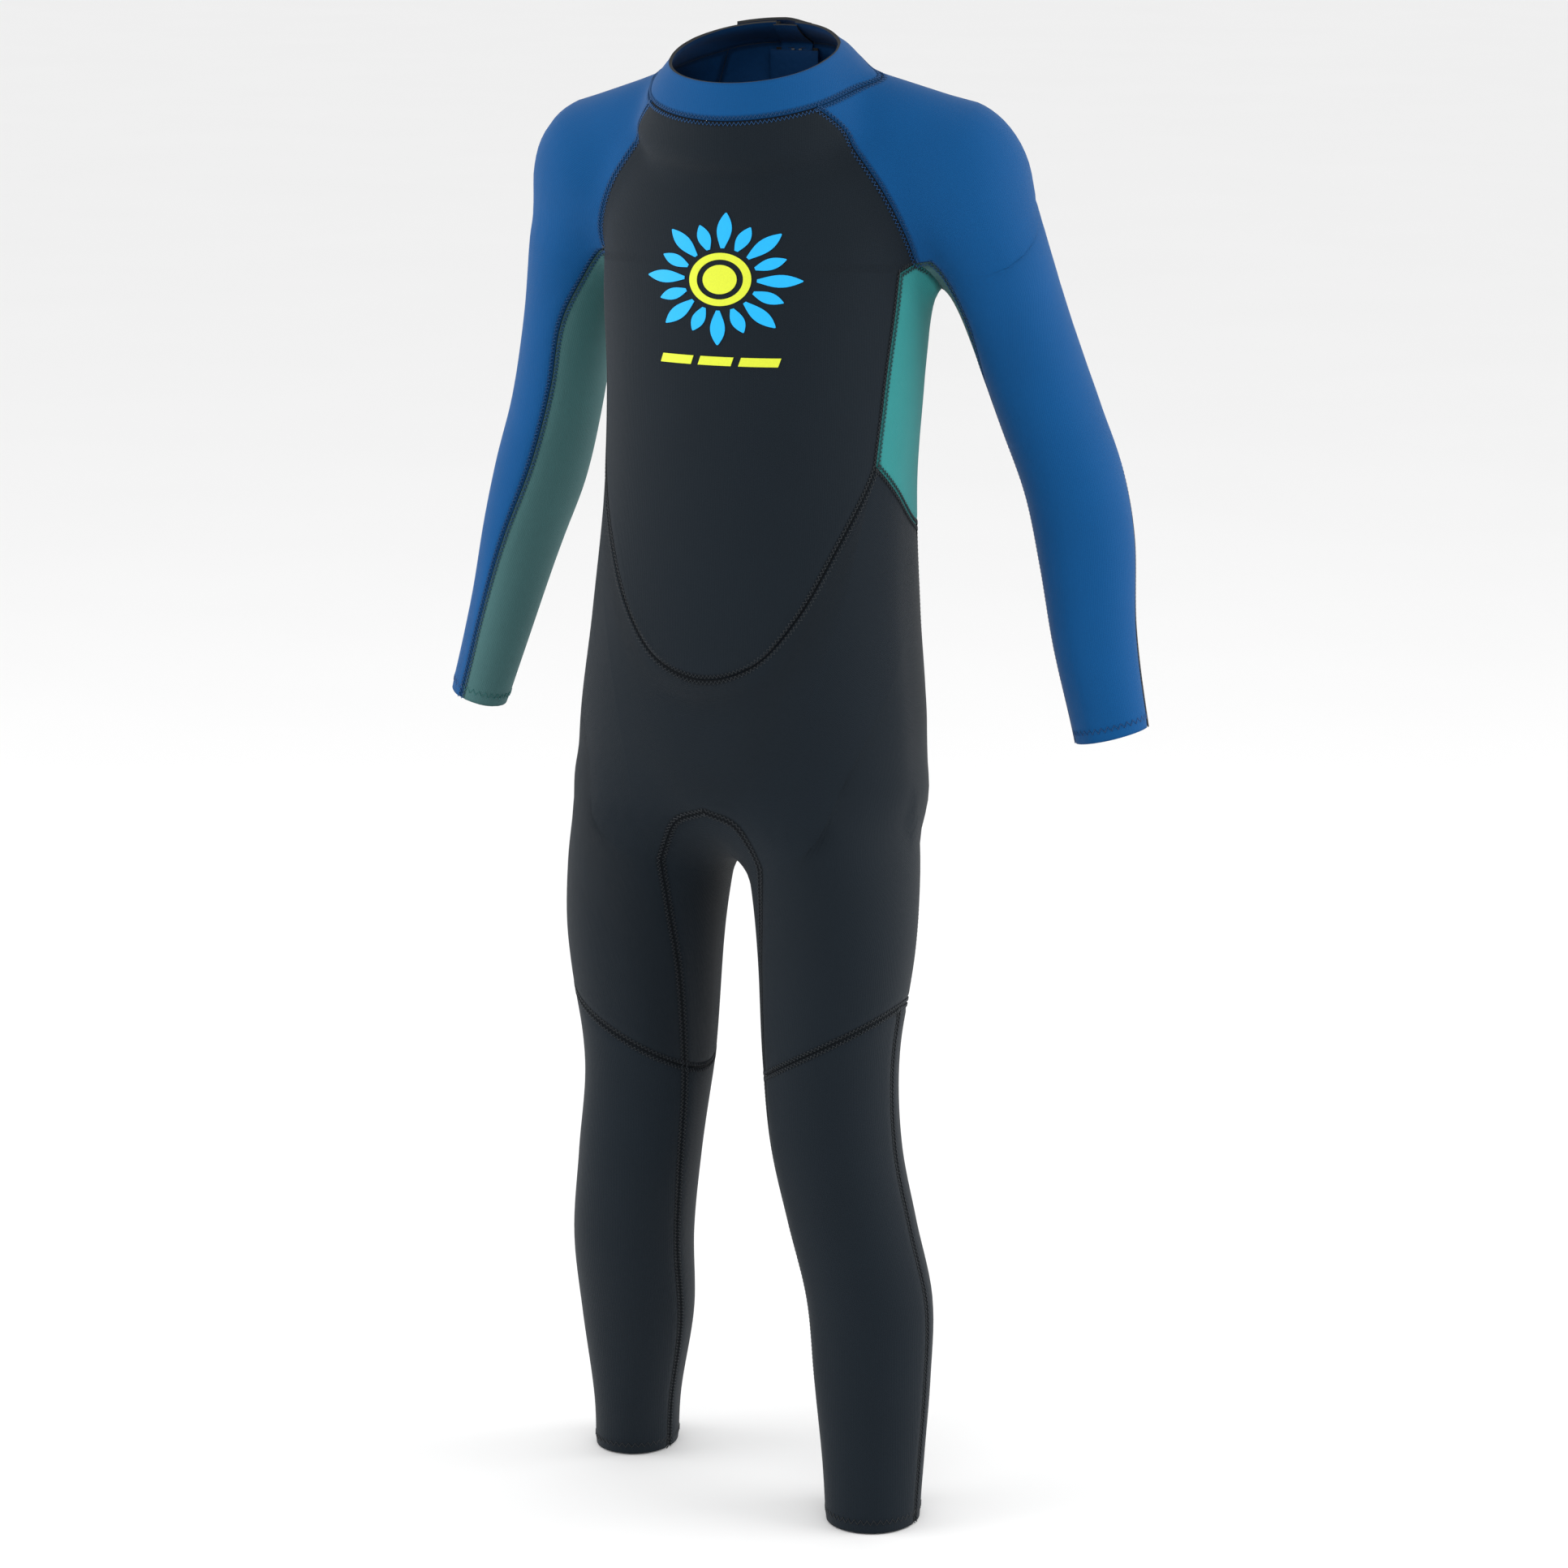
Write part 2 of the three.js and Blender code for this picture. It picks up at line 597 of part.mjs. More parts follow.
// The solid between two faces parallel to the grid, its edges drawn in by half the seam gap.
function shellGeometry(grid, outer = () => 0, inner = () => -neoprene) {
  const rows = grid.length;
  const columns = grid[0].length;
  const loop = [];
  for (let j = 0; j < columns - 1; j++) loop.push([0, j]);
  for (let i = 0; i < rows - 1; i++) loop.push([i, columns - 1]);
  for (let j = columns - 1; j > 0; j--) loop.push([rows - 1, j]);
  for (let i = rows - 1; i > 0; i--) loop.push([i, 0]);

  const normals = grid.map((row) => row.map(outwards));
  const [m, n] = [rows >> 1, columns >> 1];
  const downwards = grid[m][n].clone().sub(grid[m - 1][n]);
  const sideways = grid[m][n].clone().sub(grid[m][n - 1]);
  const turn = Math.sign(downwards.cross(sideways).dot(normals[m][n]));

  const points = grid.map((row) => row.map((p) => p.clone()));
  loop.forEach(([i, j], k) => {
    const [a, b] = loop[(k + loop.length - 1) % loop.length];
    const [c, d] = loop[(k + 1) % loop.length];
    const before = grid[i][j].clone().sub(grid[a][b]).normalize();
    const after = grid[c][d].clone().sub(grid[i][j]).normalize();
    const inward = before.clone().add(after).cross(normals[i][j]).normalize().multiplyScalar(turn);
    const reach = Math.max(before.clone().add(after).length() / 2, 0.5);
    points[i][j].addScaledVector(inward, seamGap / 2 / reach);
  });

  const positions = [];
  for (const height of [outer, inner])
    points.forEach((row, i) =>
      row.forEach((p, j) => {
        const lifted = p.clone().addScaledVector(normals[i][j], height(j / (columns - 1)));
        positions.push(lifted.x, lifted.y, lifted.z);
      }),
    );

  const index = [];
  const quad = (a, b, c, d) => {
    if (turn > 0) index.push(a, b, c, a, c, d);
    else index.push(a, c, b, a, d, c);
  };
  const outside = (i, j) => i * columns + j;
  const inside = (i, j) => rows * columns + i * columns + j;
  for (let i = 0; i < rows - 1; i++)
    for (let j = 0; j < columns - 1; j++) {
      quad(outside(i, j), outside(i + 1, j), outside(i + 1, j + 1), outside(i, j + 1));
      quad(inside(i, j), inside(i, j + 1), inside(i + 1, j + 1), inside(i + 1, j));
    }
  // Both panels at a seam split its wall the same way, so that a twisted wall keeps its gap.
  loop.forEach(([i, j], k) => {
    const [c, d] = loop[(k + 1) % loop.length];
    const walls = [outside(i, j), outside(c, d), inside(c, d), inside(i, j)];
    if (grid[i][j].z < grid[c][d].z) walls.push(walls.shift());
    quad(...walls);
  });
  const geometry = new THREE.BufferGeometry();
  geometry.setAttribute("position", new THREE.Float32BufferAttribute(positions, 3));
  geometry.setIndex(index);
  geometry.computeVertexNormals();
  return geometry;
}

// ---------------------------------------------------------------- materials
const material = (color, roughness, metalness = 0) =>
  new THREE.MeshStandardMaterial({ color, roughness, metalness });
const slate = material(0x262f38, 0.85);
const blue = material(0x18609f, 0.85);
const teal = material(0x3e9490, 0.85);
const tapeBlack = material(0x14171a, 0.9);
const toothBlack = material(0x1b1e21, 0.45);
const sliderMetal = material(0x2a2c2e, 0.4, 0.8);
const pullBlack = material(0x17191b, 0.5);
const patchBlack = material(0x101214, 0.95);

const suit = new THREE.Group();
function add(name, geometry, finish, parent = suit) {
  const mesh = new THREE.Mesh(geometry, finish);
  mesh.name = name;
  parent.add(mesh);
}

// ---------------------------------------------------------------- collar and trunk panels
function collar() {
  const arcs = [reversed(right.collarBack), reversed(right.collarSide), throat];
  const seamPoints = join(...arcs, left.collarSide, left.collarBack);
  const grid = [0, 0.2, 0.5, 0.8, 1].map((share) =>
    seamPoints.map((p) => {
      if (share === 0) return p;
      const d = p.clone().sub(neckOrigin);
      const angle = THREE.MathUtils.radToDeg(Math.atan2(d.x, -d.dot(neckBack)));
      return onNeck((angle * slitAngle(share)) / slitAngle(0), share * collarHeight);
    }),
  );
  add("collar", shellGeometry(grid), blue);
}

function chestPanel() {
  const grid = laidGrid({
    from: join(right.raglanFront, right.sideFront, right.belly),
    to: join(left.raglanFront, left.sideFront, left.belly),
    columns: steps.throat,
    coreAt: (t, a) => trunkCore(vec(0, 0, Math.min(a.z, trunkLength - 52))),
    wayAt: () => vec(0, -1, 0),
    start: throat,
    end: bellyFoot,
  });
  add("chest_panel", shellGeometry(grid), slate);
}

// Its top rows dip under the arm.
function sidePanel(side, seams) {
  const sign = sideSign[side];
  const high = (t) => Math.max(1 - 2.2 * t, 0);
  const levelAt = (t) => mix(trunkLength - 110, 0.46 * trunkLength, t);
  const coreAt = (t) => {
    const centre = trunkCore(vec(0, 0, levelAt(t)));
    return centre.lerp(vec(sign * 80, 38, levelAt(t) + 36), high(t));
  };
  const grid = laidGrid({
    from: seams.sideFront,
    to: seams.sideBack,
    columns: steps.diagonal,
    coreAt,
    wayAt: (t, core) => vec(sign * 92, 39, levelAt(t)).sub(core),
    start: seams.armpit,
    end: seams.diagonal,
    armpit: true,
  });
  add("side_panel_" + side, shellGeometry(grid), teal);
}

function backPanel(side, seams) {
  const grid = laidGrid({
    from: join(seams.raglanBack, seams.sideBack),
    to: seams.zip,
    columns: steps.waist,
    coreAt: (t, a, b) => trunkCore(vec(0, 0, Math.min((a.z + b.z) / 2, trunkLength - 52))),
    start: seams.collarBack,
    end: seams.waist,
  });
  add("back_panel_" + side, shellGeometry(grid), slate);
}

// ---------------------------------------------------------------- sleeve panels
function sleevePanels(side, seams) {
  const sign = sideSign[side];
  const { down } = arms[side];
  const halfway = (a, b) => armCore(side, downArm(side, a.clone().add(b).multiplyScalar(0.5)));

  // The outer panel runs from the collar over the shoulder to the cuff.
  const armhole = steps.raglanFront / (steps.raglanFront + steps.sleeve);
  const outer = laidGrid({
    from: join(seams.raglanFront, seams.sleeveFront),
    to: join(seams.raglanBack.slice(0, steps.raglanFront + 1), seams.sleeveRear),
    columns: steps.collarSide,
    coreAt: (t, a, b) => {
      if (t > armhole) return halfway(a, b);
      return vec(sign * 40, 28, trunkLength - 32).lerp(halfway(a, b), (t / armhole) ** 1.3);
    },
    wayAt: (t, core, between, chord) => {
      const roundArm = chord.cross(down).normalize().multiplyScalar(-sign);
      return vec(sign * 0.5, 0, 1).lerp(roundArm, Math.min(t / armhole, 1));
    },
    start: seams.collarSide,
  });
  add("sleeve_outer_" + side, shellGeometry(outer), blue);

  // The inner panel's first rows dip under the arm.
  const inner = laidGrid({
    from: seams.sleeveFront,
    to: seams.sleeveInside,
    columns: steps.diagonal,
    coreAt: (t, a, b) => halfway(a, b),
    wayAt: (t, core) => onArm(side, -88, mix(downArm(side, seams.armpit[2]), sleeveLength, t ** 1.35)).sub(core),
    start: seams.armpit,
    armpit: true,
  });
  add("sleeve_inner_" + side, shellGeometry(inner), teal);

  const rear = laidGrid({
    from: seams.sleeveRear,
    to: seams.sleeveInside,
    columns: steps.raglanRear,
    coreAt: (t, a, b) => halfway(a, b),
    start: seams.raglanBack.slice(steps.raglanFront),
  });
  add("sleeve_rear_" + side, shellGeometry(rear), slate);
}

// ---------------------------------------------------------------- hip, seat and gusset
// Each is one horseshoe from the left knee, through the middle, to the right knee.
const fromMiddle = (t) => Math.abs(1 - 2 * t);
const overThigh = (t) => THREE.MathUtils.smoothstep(fromMiddle(t), 0.5, 1);
const horseshoeSide = (t) => (t < 0.5 ? "left" : "right");
// Rows over a thigh are seen from inside that leg, and rows over the pelvis from its middle.
function horseshoeCore(t, a, b) {
  const z = (a.z + b.z) / 2;
  const leg = legCore(horseshoeSide(t), Math.min(z, 40)).setZ(z);
  return trunkCore(vec(0, 0, z)).lerp(leg, THREE.MathUtils.smoothstep(fromMiddle(t), 0.2, 0.6));
}
function hipPanel() {
  const frontKnee = (seams) => join(seams.kneeFront, seams.kneeOutside);
  const grid = laidGrid({
    from: join(left.gussetFront, reversed(right.gussetFront)),
    to: join(
      reversed(left.hip),
      reversed(left.diagonal),
      left.belly,
      reversed(bellyFoot),
      reversed(right.belly),
      right.diagonal,
      right.hip,
    ),
    columns: steps.kneeFront + steps.kneeOutside,
    coreAt: horseshoeCore,
    wayAt: (t, core, between) => between.lerp(vec(0.7 * Math.sign(1 - 2 * t), -1, 0), overThigh(t)),
    start: frontKnee(left),
    end: frontKnee(right),
  });
  add("hip_panel", shellGeometry(grid), slate);
}

function seatPanel() {
  const grid = laidGrid({
    from: join(left.gussetBack, reversed(right.gussetBack)),
    to: join(reversed(left.hip), left.waist, zipFootEdge, reversed(right.waist), right.hip),
    columns: steps.kneeBack,
    coreAt: horseshoeCore,
    wayAt: () => vec(0, 1, 0),
    start: left.kneeBack,
    end: right.kneeBack,
  });
  add("seat_panel", shellGeometry(grid), slate);
}

function crotchGusset() {
  const archShare = steps.arch / (steps.arch + 2 * steps.thigh);
  const coreAt = (t, a, b) => {
    const z = mix(60, (a.z + b.z) / 2, Math.min(fromMiddle(t) / archShare, 1));
    const leg = legCore(horseshoeSide(t), Math.min(z, 10));
    return vec(0, 0, z).lerp(leg.setZ(z), Math.min(fromMiddle(t) / 0.7, 1));
  };
  const middleLine = (t) => {
    const reach = fromMiddle(t) / archShare;
    if (reach < 1) return vec(Math.sign(1 - 2 * t) * 10 * reach ** 0.7, -2, -14 * reach ** 2);
    const down = (fromMiddle(t) - archShare) / (1 - archShare);
    return onLeg(horseshoeSide(t), 90, mix(-14, -kneeDrop - kneeSeamTilt, down));
  };
  const grid = laidGrid({
    from: join(left.gussetFront, reversed(right.gussetFront)),
    to: join(left.gussetBack, reversed(right.gussetBack)),
    columns: steps.kneeInside,
    coreAt,
    wayAt: (t, core) => middleLine(t).sub(core),
    start: left.kneeInside,
    end: right.kneeInside,
  });
  add("crotch_gusset", shellGeometry(grid), slate);
}

// ---------------------------------------------------------------- lower legs
function lowerLegPanels(side, seams) {
  const sign = sideSign[side];
  const coreAt = (t, a, b) => legCore(side, (a.z + b.z) / 2);
  const shin = laidGrid({
    from: seams.shinInside,
    to: seams.shinOutside,
    columns: steps.kneeFront,
    coreAt,
    wayAt: () => vec(sign * 0.2, -1, 0),
    start: seams.kneeFront,
  });
  add("shin_panel_" + side, shellGeometry(shin), slate);

  const behind = join(seams.kneeOutside, reversed(seams.kneeBack), reversed(seams.kneeInside));
  const calf = laidGrid({
    from: seams.shinOutside,
    to: seams.shinInside,
    columns: steps.kneeOutside + steps.kneeBack + steps.kneeInside,
    coreAt,
    wayAt: () => vec(sign * -0.2, 1, 0),
    start: behind,
  });
  add("calf_panel_" + side, shellGeometry(calf), slate);
}

// ---------------------------------------------------------------- zip
// The zip's own frame: x across it, y out of the back, z up along it from the foot of the chain.
const zip = new THREE.Group();
zip.position.set(0, backAtZipFoot, zipFoot);
zip.rotation.x = Math.atan(backZipLean);
suit.add(zip);
const tapeFace = -neoprene - tapeUnderPanel;
const chainMiddle = tapeFace - tapeThickness / 2;
const rowEdge = toothReach + toothClearance; // of a row's backing, from the middle
const channelFloor = chainWidth / 2 - tapeInChain;

function solid(geometry) {
  const bare = geometry.clone();
  bare.deleteAttribute("normal");
  bare.deleteAttribute("uv");
  const welded = mergeVertices(bare, 1e-4);
  const vertProperties = welded.attributes.position.array;
  const triVerts = new Uint32Array(welded.index.array);
  return new wasm.Manifold(new wasm.Mesh({ numProp: 3, vertProperties, triVerts }));
}

function geometryOf(manifold) {
  const { vertProperties, triVerts } = manifold.getMesh();
  const geometry = new THREE.BufferGeometry();
  geometry.setAttribute("position", new THREE.BufferAttribute(vertProperties, 3));
  geometry.setIndex(new THREE.BufferAttribute(triVerts, 1));
  geometry.computeVertexNormals();
  return geometry;
}

const box = (x0, x1, y0, y1, z0, z1) =>
  new THREE.BoxGeometry(x1 - x0, y1 - y0, z1 - z0).translate((x0 + x1) / 2, (y0 + y1) / 2, (z0 + z1) / 2);
const extruded = (shape, depth) => new THREE.ExtrudeGeometry(shape, { depth, bevelEnabled: false });
const polygon = (points) => new THREE.Shape(points.map(([x, y]) => new THREE.Vector2(x, y)));
// A plate cut to an outline in x and z, with its outer face at y.
const plate = (shape, thickness, y) => extruded(shape, thickness).rotateX(Math.PI / 2).translate(0, y, 0);
// A round bar across the zip.
const acrossBar = (radius, width, y, z) =>
  new THREE.CylinderGeometry(radius, radius, width, 20).rotateZ(Math.PI / 2).translate(0, y, z);
const channelAt = (inner, outer, z0, z1) =>
  box(
    inner,
    outer,
    chainMiddle - tapeThickness / 2 - tapeClearance,
    chainMiddle + tapeThickness / 2 + tapeClearance,
    z0,
    z1,
  );

function zipSide(side) {
  const sign = sideSign[side];
  const overhang = zipTopClearance - 3;

  // The tape reaches past both ends of the chain.
  const inner = channelFloor + tapeClearance;
  const outer = chainWidth / 2 + tapeWidth;
  const [left0, right0] = sign > 0 ? [inner, outer] : [-outer, -inner];
  const tapeBox = box(
    left0,
    right0,
    tapeFace - tapeThickness,
    tapeFace,
    -zipFootMargin - 4,
    zipLength + overhang,
  );
  add("zip_tape_" + side, tapeBox, tapeBlack, zip);

  // One row of teeth on its backing. The other row sits half a pitch higher.
  const start = sign > 0 ? 0 : toothPitch / 2;
  const tooth = toothPitch / 2 - toothClearance;
  const outline = [[chainWidth / 2, 0], [chainWidth / 2, zipLength], [rowEdge, zipLength]];
  const count = Math.floor((zipLength - start) / toothPitch);
  for (let i = count - 1; i >= 0; i--) {
    const foot = start + i * toothPitch + toothClearance / 2;
    outline.push([rowEdge, foot + tooth], [-toothReach, foot + tooth], [-toothReach, foot], [rowEdge, foot]);
  }
  outline.push([rowEdge, 0]);
  const comb = polygon(outline.map(([x, z]) => [x * sign, z]));
  const row = solid(plate(comb, chainThickness, chainMiddle + chainThickness / 2));
  const cut = sign > 0 ? [channelFloor, chainWidth] : [-chainWidth, -channelFloor];
  const channel = solid(channelAt(...cut, -1, zipLength + 2 * zipTopClearance));
  add("zip_teeth_" + side, geometryOf(row.subtract(channel)), toothBlack, zip);

  // A stop is pinched over the tape above the slider's highest place.
  const foot = zipLength + sliderAboveChain + tapeClearance;
  const [x0, x1] = sign > 0 ? [1.2, chainWidth / 2] : [-chainWidth / 2, -1.2];
  const block = box(
    x0,
    x1,
    chainMiddle - chainThickness / 2,
    chainMiddle + chainThickness / 2,
    foot,
    foot + stopLength,
  );
  add("zip_top_stop_" + side, geometryOf(solid(block).subtract(channel)), sliderMetal, zip);
}

function zipBottomStop() {
  const halfWidth = chainWidth / 2;
  const [top, foot] = [-tapeClearance, -tapeClearance - stopLength];
  const half = chainThickness / 2;
  const block = solid(box(-halfWidth, halfWidth, chainMiddle - half, chainMiddle + half, foot, top));
  const channels = [
    [channelFloor, chainWidth],
    [-chainWidth, -channelFloor],
  ].map((cut) => solid(channelAt(...cut, foot - 1, top + 1)));
  add("zip_bottom_stop", geometryOf(block.subtract(channels[0]).subtract(channels[1])), sliderMetal, zip);
}

// The slider holds the closed chain between two plates, which are joined above the last tooth.
const sliderAboveChain = 3;
const plateGap = chainThickness / 2 + sliderClearance;
const sliderTop = chainMiddle + plateGap + sliderPlate;
const pivotY = sliderTop + eyeRadius + 0.3;
const pivotZ = zipLength + sliderAboveChain - sliderLength / 2;
function zipSlider() {
  const top = zipLength + sliderAboveChain;
  const foot = top - sliderLength;
  const half = sliderWidth / 2;
  const waist = half - 0.5;
  const outline = polygon([
    [-waist, foot],
    [waist, foot],
    [half, foot + 3],
    [half, top - 1.5],
    [half - 1.5, top],
    [1.5 - half, top],
    [-half, top - 1.5],
    [-half, foot + 3],
  ]);
  const rim = tapeThickness / 2 + tapeClearance;
  const outer = chainMiddle + plateGap;
  const inner = chainMiddle - plateGap;
  let body = solid(plate(outline, sliderPlate, outer + sliderPlate));
  body = body.add(solid(plate(outline, sliderPlate, inner)));
  for (const sign of [-1, 1]) {
    const edges = [chainWidth / 2 + sliderClearance, waist].map((x) => x * sign).sort((a, b) => a - b);
    body = body.add(solid(box(...edges, chainMiddle + rim, outer + 0.1, foot, top - 2)));
    body = body.add(solid(box(...edges, inner - 0.1, chainMiddle - rim, foot, top - 2)));
    const lug = [eyeWidth / 2 + pinClearance, eyeWidth / 2 + pinClearance + lugThickness];
    const lugEdges = lug.map((x) => x * sign).sort((a, b) => a - b);
    body = body.add(
      solid(box(...lugEdges, outer + 0.5, sliderTop + lugHeight, pivotZ - 1.8, pivotZ + 1.8)),
    );
  }
  const wedge = box(-0.9, 0.9, inner - 0.1, outer + 0.1, zipLength + toothClearance, top - 0.4);
  body = body.add(solid(wedge));
  const pin = acrossBar(pinRadius, eyeWidth + 2 * pinClearance + lugThickness, pivotY, pivotZ);
  add("zip_slider", geometryOf(body.add(solid(pin))), sliderMetal, zip);
}

// The pull tab hangs from the slider's pin, over the closed zip.
function zipPullTab() {
  const foot = pivotZ - pullLength;
  const half = pullWidth / 2;
  const neckFoot = pivotZ - 6;
  const outline = polygon([
    [-eyeWidth / 2, pivotZ - eyeRadius + 0.4],
    [-eyeWidth / 2, neckFoot],
    [-half, neckFoot - 2.5],
    [-half, foot + 1.5],
    [1.5 - half, foot],
    [half - 1.5, foot],
    [half, foot + 1.5],
    [half, neckFoot - 2.5],
    [eyeWidth / 2, neckFoot],
    [eyeWidth / 2, pivotZ - eyeRadius + 0.4],
  ]);
  const hole = new THREE.Path();
  hole.absarc(0, foot + 2.2 + leashHoleRadius, leashHoleRadius, 0, 2 * Math.PI, true);
  outline.holes.push(hole);
  const blade = solid(plate(outline, pullThickness, pivotY + pullThickness / 2));
  const eye = solid(acrossBar(eyeRadius, eyeWidth, pivotY, pivotZ));
  const bore = solid(acrossBar(pinRadius + pinClearance, eyeWidth + 2, pivotY, pivotZ));
  add("zip_pull_tab", geometryOf(blade.add(eye).subtract(bore)), pullBlack, zip);
}

// The zip guard lies inside, under the slider, with one folded edge sewn to the right tape.
function zipGuard() {
  const face = chainMiddle - plateGap - sliderPlate - sliderClearance;
  const hem = tapeFace - tapeThickness - seamGap;
  const half = guardWidth / 2;
  const section = polygon([
    [-half, face - neoprene],
    [half, face - neoprene],
    [half, face],
    [guardHemWidth - half, face],
    [guardHemWidth - half, hem],
    [-half, hem],
  ]);
  const foot = -zipFootMargin;
  const length = zipLength + zipTopClearance - 4 - foot;
  add("zip_guard", extruded(section, length).translate(0, 0, foot), slate, zip);
}

// ---------------------------------------------------------------- neck tab
// It is sewn to the collar on the left of the slit, and its free end lies over the right side.
const liftAt = (t) => mix(sewnLift, tabLift, THREE.MathUtils.smoothstep(t, 0, 0.4));
function bandOnCollar(from, to, inset, columns) {
  const middle = collarHeight / 2;
  const half = tabHeight / 2 - inset;
  const heights = [middle - half, middle, middle + half];
  return heights.map((height) => seam(columns, (t) => onNeck(mix(from, to, t), height)));
}
function neckTab() {
  const tab = bandOnCollar(tabStart, tabStart + tabLength, 0, 14);
  add("neck_tab", shellGeometry(tab, (t) => liftAt(t) + neoprene, liftAt), slate);
  const end = tabStart + tabLength - 2;
  const patch = bandOnCollar(end - patchLength, end, patchInset, 7);
  const hookFoot = tabLift - patchThickness - seamGap;
  add("neck_tab_hook_patch", shellGeometry(patch, () => hookFoot + patchThickness, () => hookFoot), patchBlack);
  add("neck_loop_patch", shellGeometry(patch, () => seamGap + patchThickness, () => seamGap), patchBlack);
}

collar();
chestPanel();
hipPanel();
seatPanel();
crotchGusset();
for (const [side, seams] of [["left", left], ["right", right]]) {
  sidePanel(side, seams);
  backPanel(side, seams);
  sleevePanels(side, seams);
  lowerLegPanels(side, seams);
  zipSide(side);
}
zipBottomStop();
zipSlider();
zipPullTab();
zipGuard();
neckTab();

export default suit;
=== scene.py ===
import json
from math import atan, cos, radians, sin

import bpy
import numpy as np
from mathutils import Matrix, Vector


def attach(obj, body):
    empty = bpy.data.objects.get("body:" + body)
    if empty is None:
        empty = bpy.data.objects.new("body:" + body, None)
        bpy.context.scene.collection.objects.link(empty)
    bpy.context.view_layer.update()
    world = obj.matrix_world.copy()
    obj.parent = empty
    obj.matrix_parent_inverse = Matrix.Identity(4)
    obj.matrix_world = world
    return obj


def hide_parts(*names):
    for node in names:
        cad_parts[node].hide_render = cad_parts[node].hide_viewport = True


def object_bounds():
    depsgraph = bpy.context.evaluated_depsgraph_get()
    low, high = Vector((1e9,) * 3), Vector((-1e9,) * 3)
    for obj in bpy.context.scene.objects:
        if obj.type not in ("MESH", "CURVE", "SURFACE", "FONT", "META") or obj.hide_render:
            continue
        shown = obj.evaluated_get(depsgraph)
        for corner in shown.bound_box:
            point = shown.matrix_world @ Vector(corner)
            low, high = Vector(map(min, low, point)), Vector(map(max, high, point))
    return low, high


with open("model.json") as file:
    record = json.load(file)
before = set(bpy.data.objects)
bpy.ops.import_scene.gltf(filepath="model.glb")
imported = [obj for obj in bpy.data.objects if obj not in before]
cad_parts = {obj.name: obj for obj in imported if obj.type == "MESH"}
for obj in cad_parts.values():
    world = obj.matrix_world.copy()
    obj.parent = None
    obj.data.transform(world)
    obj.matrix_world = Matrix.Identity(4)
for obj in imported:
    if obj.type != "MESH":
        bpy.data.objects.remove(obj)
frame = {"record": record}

cad_box = [[float(x) for x in corner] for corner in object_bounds()]

# ---------------------------------------------------------------- collar
# A short collar of blue neoprene, cut on a curve. Its foot is sewn to the neck opening and its top
# is a raw edge. Like every panel it takes the shape of the wearer, which is worked out here in
# millimetres: a trunk, two legs, two arms, two shoulders and a neck that run into each other.
INSIDE_LEG = 356
TRUNK_LENGTH = 402
NEOPRENE = 2
SEAM_GAP = 0.3
COLLAR_HEIGHT = 16
NECK_LEAN = radians(16)
ZIP_LENGTH = 256
ZIP_HALF_OPENING = 5.5
ZIP_FOOT = TRUNK_LENGTH + 58 * sin(NECK_LEAN) - 10 - ZIP_LENGTH
ZIP_FOOT_MARGIN = 8
ZIP_FACE = 76.5  # how far back the chain lies at its foot
ZIP_SLOPE = 0.027
SIDE_PEAK_Z, SIDE_FLANK_Z = 0.52 * TRUNK_LENGTH, 0.418 * TRUNK_LENGTH
CUFF_REAR_ANGLE, CUFF_INSIDE_ANGLE = 100, 200
BELLY_MARKS = [(67, 0.95), (55, 0.805), (42, 0.65)]  # angle, and share of the side seam's foot
FINER = 4  # sewn edges have this many steps for each plain one

SLATE = (0.0052, 0.0097, 0.0148)
BLUE = (0.0010, 0.0660, 0.2100)
TEAL = (0.0300, 0.2350, 0.2320)
# The inside of each sleeve is teal darkened and greyed: shade painted into its colour
ARM_TEAL_PAINTED_SHADE = (0.0500, 0.1250, 0.1280)


def back_line(z):
    return ZIP_FACE - (z - ZIP_FOOT) * ZIP_SLOPE


# Rows of the trunk: height, middle, half width, depth in front, depth behind.
TRUNK = np.array([
    (share * TRUNK_LENGTH, middle, width, front, behind or back_line(share * TRUNK_LENGTH) - middle)
    for share, middle, width, front, behind in [
        (-0.05, -4, 70, 50, 66), (0.035, -5, 90, 58, 74), (0.15, -4, 92, 62, 77), (0.311, 1, 85.5, 64, 0),
        (0.473, 11, 81.5, 68, 0), (0.61, 22, 83.5, 73, 0), (0.746, 28, 87, 76, 0), (0.858, 30, 84, 66, 0),
        (0.94, 26, 60, 52, 0), (1.03, 22, 36, 38, 0)]])
# Rows of a leg: height, sideways, back, half width, half depth.
LEGS = {"left": np.array([
    (-1.12, 86, -34, 24, 27), (-1, 83, -30, 24.5, 27.5), (-0.913, 81.5, -26, 26.5, 29),
    (-0.792, 78.5, -20, 30.5, 32), (-0.674, 74.5, -14, 33, 34), (-0.556, 64, -13, 33.5, 35),
    (-0.435, 56, -16, 34, 36), (-0.303, 52.5, -15, 35.5, 38), (-0.14, 54.5, -13, 40.5, 45),
    (-0.028, 52, -9, 43, 52), (0.07, 46, -4, 45, 60)]),
    "right": np.array([
    (-1.12, -84, 34, 21.5, 26), (-1, -81, 30, 22, 26), (-0.913, -77, 22, 23, 27.5),
    (-0.764, -71, 10, 30, 32), (-0.624, -67, -4, 32, 34), (-0.483, -58.5, -14, 32.5, 35),
    (-0.331, -52.5, -14, 34, 38), (-0.14, -55.5, -11, 41, 45), (-0.028, -53, -8, 43, 52),
    (0.07, -47, -4, 45, 60)])}
for leg in LEGS.values():
    leg[:, 0] *= INSIDE_LEG
SIGN = {"left": 1, "right": -1}
